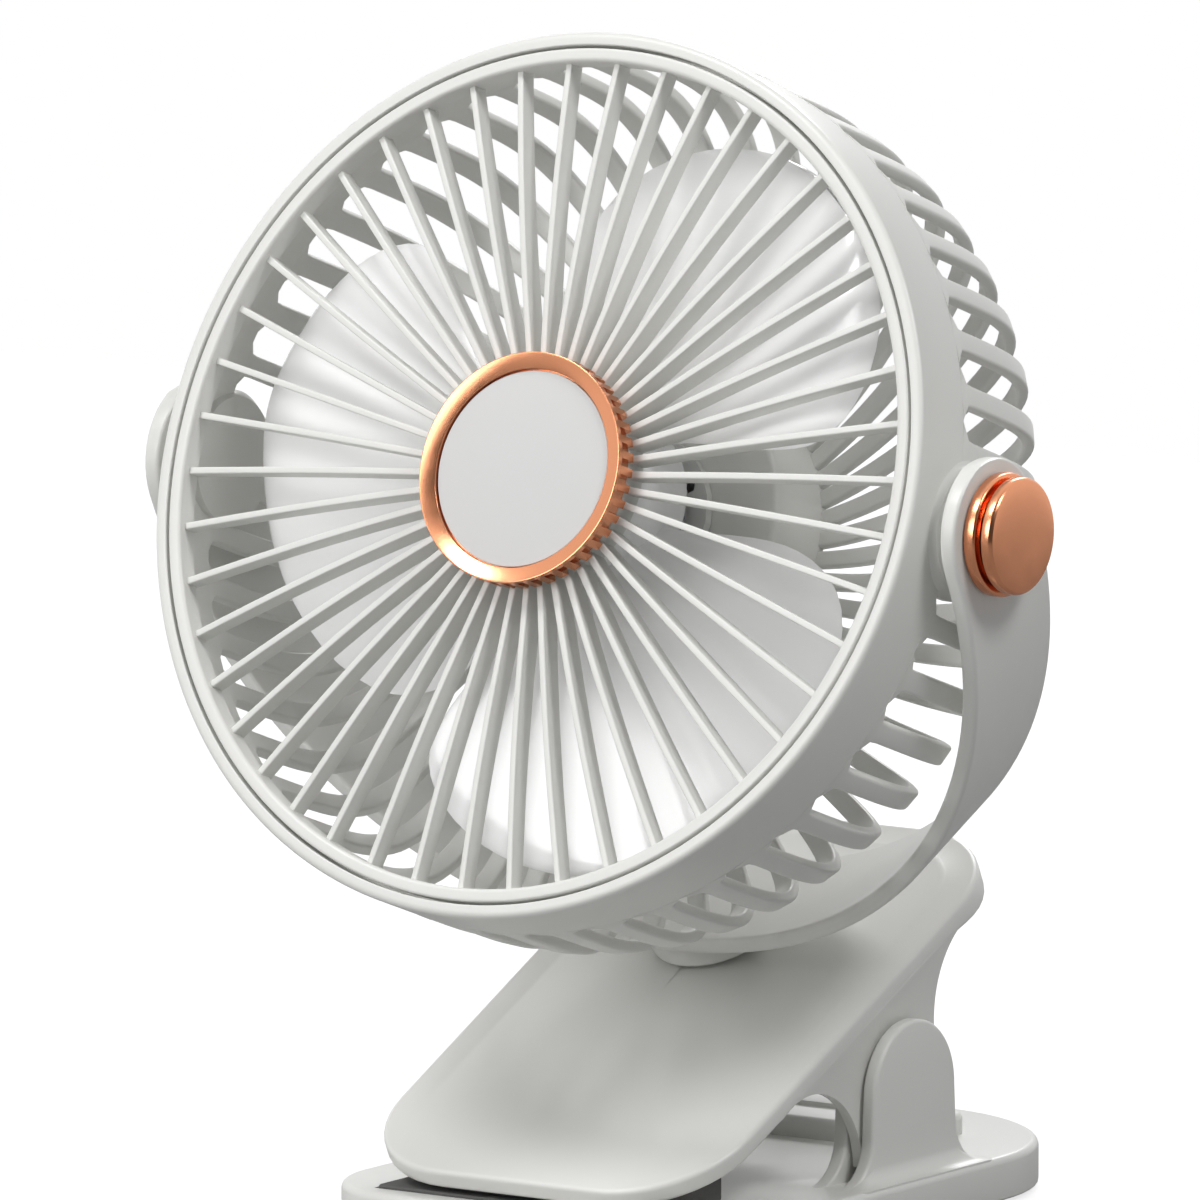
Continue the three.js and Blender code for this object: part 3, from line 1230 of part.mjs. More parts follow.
function springLegAngle(leg, floor) {
  // the leg leaves the coil at this angle, backwards along the tangent, and its end is on the floor
  let best = 0;
  let miss = Infinity;
  for (let angle = -170; angle <= -60; angle += 0.25) {
    const end = HINGE_Z + SPRING_COIL_R * Math.sin(rad(angle)) - leg * Math.cos(rad(angle));
    if (Math.abs(end - floor) < miss) {
      miss = Math.abs(end - floor);
      best = angle;
    }
  }
  return best;
}

function springUpperAngle(leg) {
  let best = 0;
  let miss = Infinity;
  for (let angle = -60; angle <= 60; angle += 0.25) {
    const y = HINGE_Y + SPRING_COIL_R * Math.cos(rad(angle)) - leg * Math.sin(rad(angle));
    const z = HINGE_Z + SPRING_COIL_R * Math.sin(rad(angle)) + leg * Math.cos(rad(angle));
    const under = leverPlane(y, pillow(0, (y - FOOT_Y) / Math.cos(SLOPE)) - LEVER_WALL - SPRING_WIRE_R - 0.6);
    if (Math.abs(z - under) < miss) {
      miss = Math.abs(z - under);
      best = angle;
    }
  }
  return best;
}

// ---------------------------------------------------------------- battery and charging

function batteryCell() {
  const outline = {
    halfWidth: CELL_HALF_WIDTH, front: CELL_FRONT, rear: CELL_REAR, frontR: 2, rearR: 2,
  };
  const bottom = COVER_TOP + GAP;
  return slab(outline, bottom, bottom + CELL_THICKNESS, 1, 0, 3, 2);
}

function chargingBoard() {
  return box(
    [-BOARD_HALF_WIDTH, BOARD_REAR - BOARD_LENGTH, CHARGE_BOARD_BOTTOM],
    [BOARD_HALF_WIDTH, BOARD_REAR, CHARGE_BOARD_BOTTOM + BOARD_THICKNESS],
  );
}

function chargingInlet() {
  const outline = (inset) => {
    const r = INLET_HEIGHT / 2 - inset;
    const middle = INLET_BOTTOM + INLET_HEIGHT / 2;
    const x = INLET_HALF_WIDTH - INLET_HEIGHT / 2;
    return [...arc(x, middle, r, -90, 90, 8), ...arc(-x, middle, r, 90, 270, 8)];
  };
  const run = (inset, from, to) =>
    extruded(outline(inset), to - from).rotate([90, 0, 0]).translate([0, to, 0]);
  const shell = run(0, INLET_REAR - INLET_LENGTH, INLET_REAR);
  const room = run(INLET_WALL, INLET_REAR - INLET_LENGTH + 1, INLET_REAR + 1);
  const middle = INLET_BOTTOM + INLET_HEIGHT / 2;
  const tongue = box([-3.3, INLET_REAR - INLET_LENGTH + 0.5, middle - 0.35], [3.3, INLET_REAR - 1.5, middle + 0.35]);
  return shell.subtract(room).add(tongue);
}

// ---------------------------------------------------------------- assembly

const fan = new THREE.Group();

const head = new THREE.Group();
head.position.set(0, PIVOT_Y, PIVOT_Z);
head.rotation.x = -rad(HEAD_TILT);

const swivel = new THREE.Group();
swivel.position.set(0, PIVOT_Y, PIVOT_Z);
swivel.rotation.x = SLOPE;

fan.add(head, swivel);

head.add(
  piece('front_grille', frontGrille(), SHELL, 0.45),
  piece('hub_ring', hubRing(), ROSE_GOLD, 0.3, 0.9),
  piece('hub_disc', hubDisc(), SILVER, 0.4, 0.3),
  piece('rear_cage', rearCage(), SHELL, 0.5),
  piece('rear_cover', rearCover(), SHELL, 0.5),
  piece('control_board', controlBoard(), BOARD_GREEN, 0.6),
  piece('button_switch', buttonSwitch(), DARK, 0.6),
  piece('speed_button', speedButton(), ROSE_GOLD, 0.3, 0.9),
  piece('motor_mount', motorMount(), SHELL, 0.6),
  piece('front_bearing', bearing(TUBE_FRONT + 0.4), STEEL, 0.3, 1),
  piece('rear_bearing', bearing(MOUNT_FRONT - BEARING_LENGTH), STEEL, 0.3, 1),
  piece('stator', stator(), COPPER, 0.5, 0.6),
  piece('motor_board', motorBoard(), BOARD_GREEN, 0.6),
  piece('impeller', impeller(), GLOSS, 0.15),
  piece('motor_shaft', motorShaft(), STEEL, 0.2, 1),
  piece('rotor_can', rotorCan(), STEEL, 0.3, 1),
  piece('magnet_ring', magnetRing(), DARK, 0.6),
);
motorScrewPlaces().forEach((place, k) => {
  head.add(piece(`motor_screw_${k + 1}`, motorScrew(place), STEEL, 0.3, 1));
});

swivel.add(
  piece('yoke', yoke(), SHELL, 0.5),
  piece('swivel_washer', swivelWasher(), DARK, 0.7),
  piece('swivel_nut', swivelNut(), STEEL, 0.3, 1),
);
swivel.add(
  piece('pivot_pin_right', pivotPin(CAP_SEAT, PIN_HEAD_HEIGHT), STEEL, 0.3, 1),
  piece('pivot_washer_right', pivotWasher(), DARK, 0.7),
  piece('cap_ring_right', capRing(), ROSE_GOLD, 0.3, 0.9),
  piece('cap_disc_right', capDisc(), ROSE_GOLD, 0.3, 0.9),
  piece('pivot_pin_left', mirrored(pivotPin(PLUG_SEAT, PLUG_PIN_HEAD), -1), STEEL, 0.3, 1),
  piece('pivot_washer_left', mirrored(pivotWasher(), -1), DARK, 0.7),
  piece('cap_ring_left', mirrored(plugRing(), -1), SHELL, 0.5),
  piece('cap_disc_left', mirrored(plugDisc(), -1), SHELL, 0.5),
);

fan.add(
  piece('lever', leverBody(), SHELL, 0.5),
  piece('lever_jaw_pad', leverJawPad(), RUBBER, 0.9),
  piece('base_shell', baseShell(), SHELL, 0.5),
  piece('base_cover', baseCover(), SHELL, 0.6),
  piece('base_jaw_pad', baseJawPad(), RUBBER, 0.9),
  piece('sole_pad', solePad(), RUBBER, 0.9),
  piece('hinge_pin', hingePin(), STEEL, 0.3, 1),
  piece('torsion_spring', torsionSpring(), STEEL, 0.3, 1),
  piece('battery_cell', batteryCell(), SILVER, 0.4, 0.3),
  piece('charging_board', chargingBoard(), BOARD_GREEN, 0.6),
  piece('charging_inlet', chargingInlet(), STEEL, 0.3, 1),
);
basePosts().forEach((place, k) => {
  fan.add(piece(`base_screw_${k + 1}`, baseScrew(place), STEEL, 0.3, 1));
});

export default fan;
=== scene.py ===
# Looks of the clip fan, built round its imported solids. Sizes are in millimetres until a mesh is made.
import math

import bmesh
import bpy
from mathutils import Matrix, Vector


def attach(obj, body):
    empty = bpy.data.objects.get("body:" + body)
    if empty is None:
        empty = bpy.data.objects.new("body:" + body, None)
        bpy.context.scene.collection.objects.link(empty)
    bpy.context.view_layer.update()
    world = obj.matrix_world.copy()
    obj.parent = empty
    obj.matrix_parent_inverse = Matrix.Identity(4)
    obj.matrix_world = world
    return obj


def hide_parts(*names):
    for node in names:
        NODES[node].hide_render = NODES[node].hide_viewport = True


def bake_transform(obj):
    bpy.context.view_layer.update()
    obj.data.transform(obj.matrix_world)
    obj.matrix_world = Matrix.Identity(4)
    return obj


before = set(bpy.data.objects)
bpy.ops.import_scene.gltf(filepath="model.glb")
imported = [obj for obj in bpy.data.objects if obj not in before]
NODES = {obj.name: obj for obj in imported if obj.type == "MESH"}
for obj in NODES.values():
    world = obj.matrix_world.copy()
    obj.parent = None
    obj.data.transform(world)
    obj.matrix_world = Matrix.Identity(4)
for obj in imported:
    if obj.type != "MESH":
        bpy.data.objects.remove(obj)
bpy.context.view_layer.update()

# ---------------------------------------------------------------- frames of the moving groups

MM = 0.001
PIVOT = Vector((0, -43, 142.1))  # where the axes of tilt and swivel cross
HEAD_TILT = math.radians(19.3)
SLOPE = math.radians(25.66)  # of the lever's top, and so of the swivel axis
STEM_LENGTH = 104.87
FOOT = PIVOT + Vector((0, STEM_LENGTH * math.sin(SLOPE), -STEM_LENGTH * math.cos(SLOPE)))

HEAD = Matrix.Translation(PIVOT) @ Matrix.Rotation(-HEAD_TILT, 4, "X")
SWIVEL = Matrix.Translation(PIVOT) @ Matrix.Rotation(SLOPE, 4, "X")
LEVER = Matrix.Translation(FOOT) @ Matrix.Rotation(SLOPE, 4, "X")
WORLD = Matrix.Identity(4)

# ---------------------------------------------------------------- materials


def srgb(r, g, b):
    def linear(c):
        c /= 255
        return c / 12.92 if c <= 0.04045 else ((c + 0.055) / 1.055) ** 2.4

    return (linear(r), linear(g), linear(b), 1)


# The noises are sized in cycles for each metre of the object.
CLOUD_SCALE, GLOSS_SCALE, GRAIN_SCALE = 26.0, 260.0, 1800.0
GLOSS_SPREAD, GRAIN_HEIGHT, COAT_ROUGHNESS = 0.06, 0.0002, 0.12


def material(name, color, roughness, metallic=0.0, vary=0.04, bump=0.02, stretch=(1, 1, 1), coat=0.0,
             specular=0.5):
    """A moulded, brushed or coated surface: cloudy colour, uneven gloss and a fine grain."""
    made = bpy.data.materials.new(name)
    made.use_nodes = True
    tree = made.node_tree
    shader = tree.nodes["Principled BSDF"]
    shader.inputs["Metallic"].default_value = metallic
    shader.inputs["Specular IOR Level"].default_value = specular
    shader.inputs["Coat Weight"].default_value = coat
    shader.inputs["Coat Roughness"].default_value = COAT_ROUGHNESS
    place = tree.nodes.new("ShaderNodeTexCoord")
    mapping = tree.nodes.new("ShaderNodeMapping")
    mapping.inputs["Scale"].default_value = stretch
    tree.links.new(place.outputs["Object"], mapping.inputs["Vector"])

    def noise(size, detail):
        node = tree.nodes.new("ShaderNodeTexNoise")
        node.inputs["Scale"].default_value = size
        node.inputs["Detail"].default_value = detail
        tree.links.new(mapping.outputs["Vector"], node.inputs["Vector"])
        return node

    clouds = noise(CLOUD_SCALE, 3)
    ramp = tree.nodes.new("ShaderNodeValToRGB")
    for stop, along, factor in zip(ramp.color_ramp.elements, (0.3, 0.7), (1 - vary, 1 + vary)):
        stop.position = along
        stop.color = [min(c * factor, 1) for c in color[:3]] + [1]
    tree.links.new(clouds.outputs["Fac"], ramp.inputs["Fac"])
    tree.links.new(ramp.outputs["Color"], shader.inputs["Base Color"])
    gloss = noise(GLOSS_SCALE, 4)
    span = tree.nodes.new("ShaderNodeMapRange")
    span.inputs["To Min"].default_value = max(roughness - GLOSS_SPREAD, 0.03)
    span.inputs["To Max"].default_value = min(roughness + GLOSS_SPREAD, 1)
    tree.links.new(gloss.outputs["Fac"], span.inputs["Value"])
    tree.links.new(span.outputs["Result"], shader.inputs["Roughness"])
    if bump:
        grain = noise(GRAIN_SCALE, 2)
        relief = tree.nodes.new("ShaderNodeBump")
        relief.inputs["Strength"].default_value = bump
        relief.inputs["Distance"].default_value = GRAIN_HEIGHT
        tree.links.new(grain.outputs["Fac"], relief.inputs["Height"])
        tree.links.new(relief.outputs["Normal"], shader.inputs["Normal"])
    return made


MATERIALS = {
    "shell_plastic": material("shell_plastic", srgb(226, 226, 222), 0.36, vary=0.012, bump=0.04),
    "impeller_plastic": material("impeller_plastic", srgb(252, 252, 252), 0.16, vary=0.01, bump=0.01,
                                 coat=0.3),
    "rose_gold_trim": material("rose_gold_trim", srgb(230, 156, 116), 0.22, 1.0, vary=0.03),
    "hub_disc": material("hub_disc", srgb(212, 212, 211), 0.62, vary=0.012, bump=0.04, specular=0.3),
    # The pads' grey is partly the rubber's own dark grey and partly painted shade: darkened further to merge
    # with the shade under the lever.
    "grip_rubber": material("grip_rubber", srgb(92, 92, 90), 0.85, vary=0.05, bump=0.3),
    "steel": material("steel", srgb(186, 190, 194), 0.3, 1.0, vary=0.03, stretch=(1, 6, 6)),
    "circuit_board": material("circuit_board", srgb(44, 106, 70), 0.5, vary=0.12),
    "dark_plastic": material("dark_plastic", srgb(58, 58, 60), 0.55, vary=0.06, bump=0.1),
    "windings": material("windings", srgb(184, 112, 60), 0.4, 0.7, vary=0.15, stretch=(1, 12, 1),
                         bump=0.4),
    "cell_wrap": material("cell_wrap", srgb(200, 204, 208), 0.35, 0.3, vary=0.03),
}

NODE_SLOTS = {
    "impeller_plastic": ["impeller"],
    "rose_gold_trim": ["hub_ring", "speed_button", "cap_ring_right", "cap_disc_right"],
    "hub_disc": ["hub_disc"],
    "grip_rubber": ["lever_jaw_pad", "base_jaw_pad", "sole_pad"],
    "steel": ["hinge_pin", "torsion_spring", "charging_inlet", "swivel_nut", "pivot_pin_right",
              "pivot_pin_left", "front_bearing", "rear_bearing", "motor_shaft", "rotor_can",
              "motor_screw_1", "motor_screw_2", "motor_screw_3",
              "base_screw_1", "base_screw_2", "base_screw_3", "base_screw_4"],
    "circuit_board": ["control_board", "motor_board", "charging_board"],
    "dark_plastic": ["button_switch", "magnet_ring", "swivel_washer", "pivot_washer_right",
                     "pivot_washer_left"],
    "windings": ["stator"],
    "cell_wrap": ["battery_cell"],
}
slot_of = {name: slot for slot, names in NODE_SLOTS.items() for name in names}
for name, node in NODES.items():
    node.data.materials.clear()
    node.data.materials.append(MATERIALS[slot_of.get(name, "shell_plastic")])

# ---------------------------------------------------------------- mesh helpers


def fillet(points, radii, steps=4):
    """A closed 2-D outline with each corner rounded by its own radius, which takes half a side at most."""
    made = []
    count = len(points)
    for i, (point, radius) in enumerate(zip(points, radii)):
        here = Vector(point)
        before = Vector(points[i - 1]) - here
        after = Vector(points[(i + 1) % count]) - here
        if radius <= 0:
            made.append(tuple(here))
            continue
        half = before.angle(after) / 2
        reach = min(radius / math.tan(half), before.length * 0.49, after.length * 0.49)
        a, b = here + before.normalized() * reach, here + after.normalized() * reach
        for k in range(steps + 1):
            t = k / steps
            made.append(tuple(a * (1 - t) ** 2 + here * 2 * t * (1 - t) + b * t * t))
    return made


def lathe(profile, axis="Y", segments=144):
    """A closed profile of (radius, place) pairs turned about an axis."""
    verts, faces = [], []
    count = len(profile)
    for k in range(segments):
        angle = 2 * math.pi * k / segments
        c, s = math.cos(angle), math.sin(angle)
        for r, place in profile:
            across, along = r * c, r * s
            verts.append({"X": (place, across, along), "Y": (across, place, along),
                          "Z": (across, along, place)}[axis])
    for k in range(segments):
        a, b = k * count, (k + 1) % segments * count
        for i in range(count):
            j = (i + 1) % count
            faces.append((a + i, a + j, b + j, b + i))
    return verts, faces


def loft(rings):
    """Rings of points skinned into a tube with flat ends."""
    verts = [tuple(p) for ring in rings for p in ring]
    count, last = len(rings[0]), len(rings)
    faces = []
    for k in range(last - 1):
        a, b = k * count, (k + 1) * count
        for i in range(count):
            j = (i + 1) % count
            faces.append((a + i, a + j, b + j, b + i))
    faces.append(tuple(range(count))[::-1])
    faces.append(tuple(range((last - 1) * count, last * count)))
    return verts, faces


def merged(*parts):
    """Several closed forms as one list of points and faces."""
    verts, faces = [], []
    for part_verts, part_faces in parts:
        base = len(verts)
        verts += part_verts
        faces += [tuple(i + base for i in face) for face in part_faces]
    return verts, faces


def raw_object(name, part, place, smooth=35):
    """A mesh object from millimetres in its group's frame, sharp where faces turn by more than smooth."""
    mesh = bpy.data.meshes.new(name)
    mesh.from_pydata([place @ Vector(v) * MM for v in part[0]], [], part[1])
    cleaned = bmesh.new()
    cleaned.from_mesh(mesh)
    bmesh.ops.remove_doubles(cleaned, verts=cleaned.verts, dist=1e-7)
    bmesh.ops.recalc_face_normals(cleaned, faces=cleaned.faces)
    cleaned.to_mesh(mesh)
    cleaned.free()
    for face in mesh.polygons:
        face.use_smooth = True
    mesh.set_sharp_from_angle(angle=math.radians(smooth))
    made = bpy.data.objects.new(name, mesh)
    bpy.context.scene.collection.objects.link(made)
    return made


def baked(made, smooth=35):
    """Applies the object's modifiers to its mesh."""
    bpy.context.view_layer.update()
    depsgraph = bpy.context.evaluated_depsgraph_get()
    seen_mesh = bpy.data.meshes.new_from_object(made.evaluated_get(depsgraph))
    made.modifiers.clear()
    made.data = seen_mesh
    for face in seen_mesh.polygons:
        face.use_smooth = True
    seen_mesh.set_sharp_from_angle(angle=math.radians(smooth))
    return made


def shaped(made, tools, operation):
    """Cuts, adds or keeps what the tools hold, and deletes the tools."""
    for tool in tools:
        step = made.modifiers.new("cut", "BOOLEAN")
        step.operation = operation
        step.solver = "EXACT"
        step.object = tool
        baked(made)
        bpy.data.objects.remove(tool)
    return made


def softened(made, width):
    """A small round on each edge that turns by more than 50 degrees."""
    step = made.modifiers.new("round", "BEVEL")
    step.width = width * MM
    step.segments = 2
    step.limit_method = "ANGLE"
    step.angle_limit = math.radians(50)
    step.use_clamp_overlap = True
    return baked(made)


def dressed(made, slot, body, *nodes):
    """Gives a piece its material and its body, and hides the nodes it stands for."""
    made.data.materials.clear()
    made.data.materials.append(MATERIALS[slot])
    if nodes:
        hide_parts(*nodes)
    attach(made, body)
    return made


def arc(cx, cy, r, start, stop, steps):
    """Points on a circle, from one angle in degrees to another."""
    return [(cx + r * math.cos(math.radians(start + (stop - start) * i / steps)),
             cy + r * math.sin(math.radians(start + (stop - start) * i / steps))) for i in range(steps + 1)]


def lerp(a, b, t):
    return a + (b - a) * t


def smoothstep(x, low, high):
    t = min(max((x - low) / (high - low), 0), 1)
    return t * t * (3 - 2 * t)


def rounded_outline(half_width, front, rear, front_r, rear_r, inset=0, steps=10, extra=(0, 0)):
    """A plan outline with round corners, drawn in by inset, with extra points along its straight sides."""
    w, f, r = half_width - inset, front + inset, rear - inset
    fr, rr = max(front_r - inset, 0.3), max(rear_r - inset, 0.3)
    corners = [arc(w - rr, r - rr, rr, 0, 90, steps), arc(rr - w, r - rr, rr, 90, 180, steps),
               arc(fr - w, f + fr, fr, 180, 270, steps), arc(w - fr, f + fr, fr, 270, 360, steps)]
    made = []
    for k, corner in enumerate(corners):
        start, stop = corner[-1], corners[(k + 1) % 4][0]
        count = extra[k % 2]
        shares = [(i + 1) / (count + 1) for i in range(count)]
        made += corner + [(lerp(start[0], stop[0], t), lerp(start[1], stop[1], t)) for t in shares]
    return made


def slab(shape, bottom, top, top_r, inset=0, steps=10, bottom_r=0.0, rounds=5):
    """An upright slab with a rounded plan outline and rounded upper and lower edges."""
    def level(by, z):
        return [(x, y, z) for x, y in rounded_outline(*shape, inset + by, steps)]

    turns = [math.pi / 2 * i / rounds for i in range(rounds + 1)]
    rings = [level(0, bottom)]
    if bottom_r:
        rings = [level(bottom_r * (1 - math.sin(a)), bottom + bottom_r * (1 - math.cos(a))) for a in turns]
    rings += [level(top_r * (1 - math.cos(a)), top - top_r * (1 - math.sin(a))) for a in turns]
    return loft(rings)


def drawn_in(outline, by):
    """A 2-D outline moved inwards by a distance, without change in its count of points."""
    area = sum(outline[i - 1][0] * outline[i][1] - outline[i][0] * outline[i - 1][1]
               for i in range(len(outline)))
    made = []
    for i, point in enumerate(outline):
        before = (Vector(point) - Vector(outline[i - 1])).normalized()
        after = (Vector(outline[(i + 1) % len(outline)]) - Vector(point)).normalized()
        along = (before + after).normalized()
        inward = Vector((-along.y, along.x)) * (1 if area > 0 else -1)
        made.append(Vector(point) + inward * by / max(along.dot(after), 0.5))
    return made


def extruded_x(outline, start, stop, edge=0.0):
    """An outline in Y and Z run along X, with rounded edges where edge isn't 0."""
    levels = [(start, 0), (stop, 0)]
    if edge:
        angles = [math.pi / 2 * i / 4 for i in range(5)]
        levels = [(start + edge * (1 - math.sin(a)), edge * (1 - math.cos(a))) for a in reversed(angles)]
        levels += [(stop - edge * (1 - math.sin(a)), edge * (1 - math.cos(a))) for a in angles]
    return loft([[(x, p[0], p[1]) for p in drawn_in(outline, by)] for x, by in levels])


def copies_tree():
    """Repeats a piece evenly about its own Y axis, from a first angle."""
    tree = bpy.data.node_groups.new("turned copies", "GeometryNodeTree")
    for socket, kind in [("Piece", "Geometry"), ("Count", "Int"), ("First angle", "Float"),
                         ("Finish", "Material")]:
        tree.interface.new_socket(socket, in_out="INPUT", socket_type="NodeSocket" + kind)
    tree.interface.new_socket("Ring", in_out="OUTPUT", socket_type="NodeSocketGeometry")
    given, result = tree.nodes.new("NodeGroupInput"), tree.nodes.new("NodeGroupOutput")
    points, index = tree.nodes.new("GeometryNodePoints"), tree.nodes.new("GeometryNodeInputIndex")
    share, turn = tree.nodes.new("ShaderNodeMath"), tree.nodes.new("ShaderNodeMath")
    share.operation, turn.operation = "DIVIDE", "MULTIPLY_ADD"
    turn.inputs[1].default_value = 2 * math.pi
    euler = tree.nodes.new("ShaderNodeCombineXYZ")
    rotation = tree.nodes.new("FunctionNodeEulerToRotation")
    place = tree.nodes.new("GeometryNodeInstanceOnPoints")
    real, finish = tree.nodes.new("GeometryNodeRealizeInstances"), tree.nodes.new("GeometryNodeSetMaterial")
    for a, b in [(given.outputs["Count"], points.inputs["Count"]), (index.outputs[0], share.inputs[0]),
                 (given.outputs["Count"], share.inputs[1]), (share.outputs[0], turn.inputs[0]),
                 (given.outputs["First angle"], turn.inputs[2]), (turn.outputs[0], euler.inputs["Y"]),
                 (euler.outputs[0], rotation.inputs[0]), (points.outputs[0], place.inputs["Points"]),
                 (given.outputs["Piece"], place.inputs["Instance"]),
                 (rotation.outputs[0], place.inputs["Rotation"]),
                 (place.outputs[0], real.inputs[0]), (real.outputs[0], finish.inputs["Geometry"]),
                 (given.outputs["Finish"], finish.inputs["Material"]),
                 (finish.outputs[0], result.inputs["Ring"])]:
        tree.links.new(a, b)
    return tree


COPIES = copies_tree()


def ring_of(name, part, count, slot, place, first, smooth):
    """One piece repeated about the Y axis from a first angle in degrees, then set in its group's frame."""
    made = raw_object(name, part, WORLD, smooth)
    step = made.modifiers.new("ring", "NODES")
    step.node_group = COPIES
    for socket in COPIES.interface.items_tree:
        value = {"Count": count, "First angle": math.radians(first),
                 "Finish": MATERIALS[slot]}.get(socket.name)
        if value is not None:
            step[socket.identifier] = value
    baked(made, smooth)
    made.data.transform(place_in_metres(place))
    return made


def place_in_metres(place):
    """A group's frame for a mesh that is in metres already."""
    return Matrix.Translation(place.to_translation() * MM) @ place.to_3x3().to_4x4()


def swept_tree():
    """Sweeps a round wire along a path."""
    tree = bpy.data.node_groups.new("swept wire", "GeometryNodeTree")
    for socket, kind in [("Path", "Geometry"), ("Wire radius", "Float"), ("Sides", "Int"),
                         ("Finish", "Material")]:
        tree.interface.new_socket(socket, in_out="INPUT", socket_type="NodeSocket" + kind)
    tree.interface.new_socket("Wire", in_out="OUTPUT", socket_type="NodeSocketGeometry")
    given, result = tree.nodes.new("NodeGroupInput"), tree.nodes.new("NodeGroupOutput")
    path = tree.nodes.new("GeometryNodeMeshToCurve")
    circle = tree.nodes.new("GeometryNodeCurvePrimitiveCircle")
    wire, finish = tree.nodes.new("GeometryNodeCurveToMesh"), tree.nodes.new("GeometryNodeSetMaterial")
    real = tree.nodes.new("GeometryNodeRealizeInstances")
    wire.inputs["Fill Caps"].default_value = True
    for a, b in [(given.outputs["Path"], path.inputs[0]), (path.outputs[0], wire.inputs["Curve"]),
                 (given.outputs["Wire radius"], circle.inputs["Radius"]),
                 (given.outputs["Sides"], circle.inputs["Resolution"]),
                 (circle.outputs[0], wire.inputs["Profile Curve"]),
                 (wire.outputs[0], real.inputs[0]), (real.outputs[0], finish.inputs["Geometry"]),
                 (given.outputs["Finish"], finish.inputs["Material"]),
                 (finish.outputs[0], result.inputs["Wire"])]:
        tree.links.new(a, b)
    return tree


def swept_wire(name, points, radius, sides, slot, place):
    """A round wire along a path of points."""
    mesh = bpy.data.meshes.new(name)
    mesh.from_pydata([place @ Vector(p) * MM for p in points],
                     [(i, i + 1) for i in range(len(points) - 1)], [])
    made = bpy.data.objects.new(name, mesh)
    bpy.context.scene.collection.objects.link(made)
    tree = swept_tree()
    step = made.modifiers.new("wire", "NODES")
    step.node_group = tree
    for socket in tree.interface.items_tree:
        value = {"Wire radius": radius * MM, "Sides": sides, "Finish": MATERIALS[slot]}.get(socket.name)
        if value is not None:
            step[socket.identifier] = value
    return baked(made, 60)


# ---------------------------------------------------------------- head: rear cage

BAND_R, BAND_FRONT, BAND_REAR, BAND_INNER_R = 85.3, -18.3, -3.6, 82.7
CAGE_RIBS, CAGE_RIB_PHASE, CAGE_TWIST, CAGE_DEPTH, CAGE_BOXINESS = 48, 39.8, 14, 42, 0.42
RIB_WIDTH, RIB_THICKNESS, RIB_EDGE_R = 4.4, 2.4, 0.7
RIB_ROOT_SHARE, TWIST_EASE = 0.62, 1.4
RIB_STATIONS, LINE_SAMPLES = 40, 400
HOUSING_R, HOUSING_WALL, HOUSING_FLOOR, HOUSING_FLOOR_WALL, HOUSING_REAR = 30, 2.2, 20, 2.4, 38.4
PIVOT_BOSS_R, PIVOT_BOSS_FACE, PIVOT_BOSS_DEPTH = 11.8, 87.3, 1.6


def cage_line(t):
    """A point of the rib's outer line, as radius and depth: at the band for 0, at the housing for 1."""
    angle = t * math.pi / 2
    c, s = max(math.cos(angle), 0) ** CAGE_BOXINESS, math.sin(angle) ** CAGE_BOXINESS
    return Vector((HOUSING_R + (BAND_R - HOUSING_R) * c, BAND_REAR + CAGE_DEPTH * s))


def cage_path():
    """Evenly spaced points of the rib's outer line."""
    dense = [cage_line((k / LINE_SAMPLES) ** 1.6) for k in range(LINE_SAMPLES + 1)]
    run = [0.0]
    for p, q in zip(dense, dense[1:]):
        run.append(run[-1] + (q - p).length)
    made, k = [], 0
    for i in range(RIB_STATIONS + 1):
        want = run[-1] * i / RIB_STATIONS
        while k < LINE_SAMPLES - 1 and run[k + 1] < want:
            k += 1
        share = (want - run[k]) / max(run[k + 1] - run[k], 1e-9)
        made.append((want, dense[k].lerp(dense[k + 1], share)))
    return made


def cage_rib(path, pitch):
    """One rib: it widens into the slot's round end at the band and twists on its way in."""
    rings = []
    for k, (run, station) in enumerate(path):
        before, after = path[max(k - 1, 0)][1], path[min(k + 1, len(path) - 1)][1]
        along = (after - before).normalized()
        inward = Vector((-along.y, along.x))
        share = min(max((BAND_R - station.x) / (BAND_R - HOUSING_R), 0), 1)
        angle = math.radians(-CAGE_TWIST * share ** TWIST_EASE)
        width = lerp(RIB_WIDTH * RIB_ROOT_SHARE, RIB_WIDTH, station.x / BAND_R)
        slot = (pitch * BAND_R - RIB_WIDTH) / 2
        if run < slot:
            width += 2 * (slot - math.sqrt(slot ** 2 - (slot - run) ** 2))
        half = width / 2
        section = fillet([(-half, 0), (half, 0), (half, RIB_THICKNESS), (-half, RIB_THICKNESS)],
                         [RIB_EDGE_R] * 4, 3)
        ring = []
        for across, depth in section:
            r = station.x + inward.x * depth
            y = station.y + inward.y * depth
            ring.append((r * math.cos(angle) - across * math.sin(angle), y,
                         r * math.sin(angle) + across * math.cos(angle)))
        rings.append(ring)
    return loft(rings)


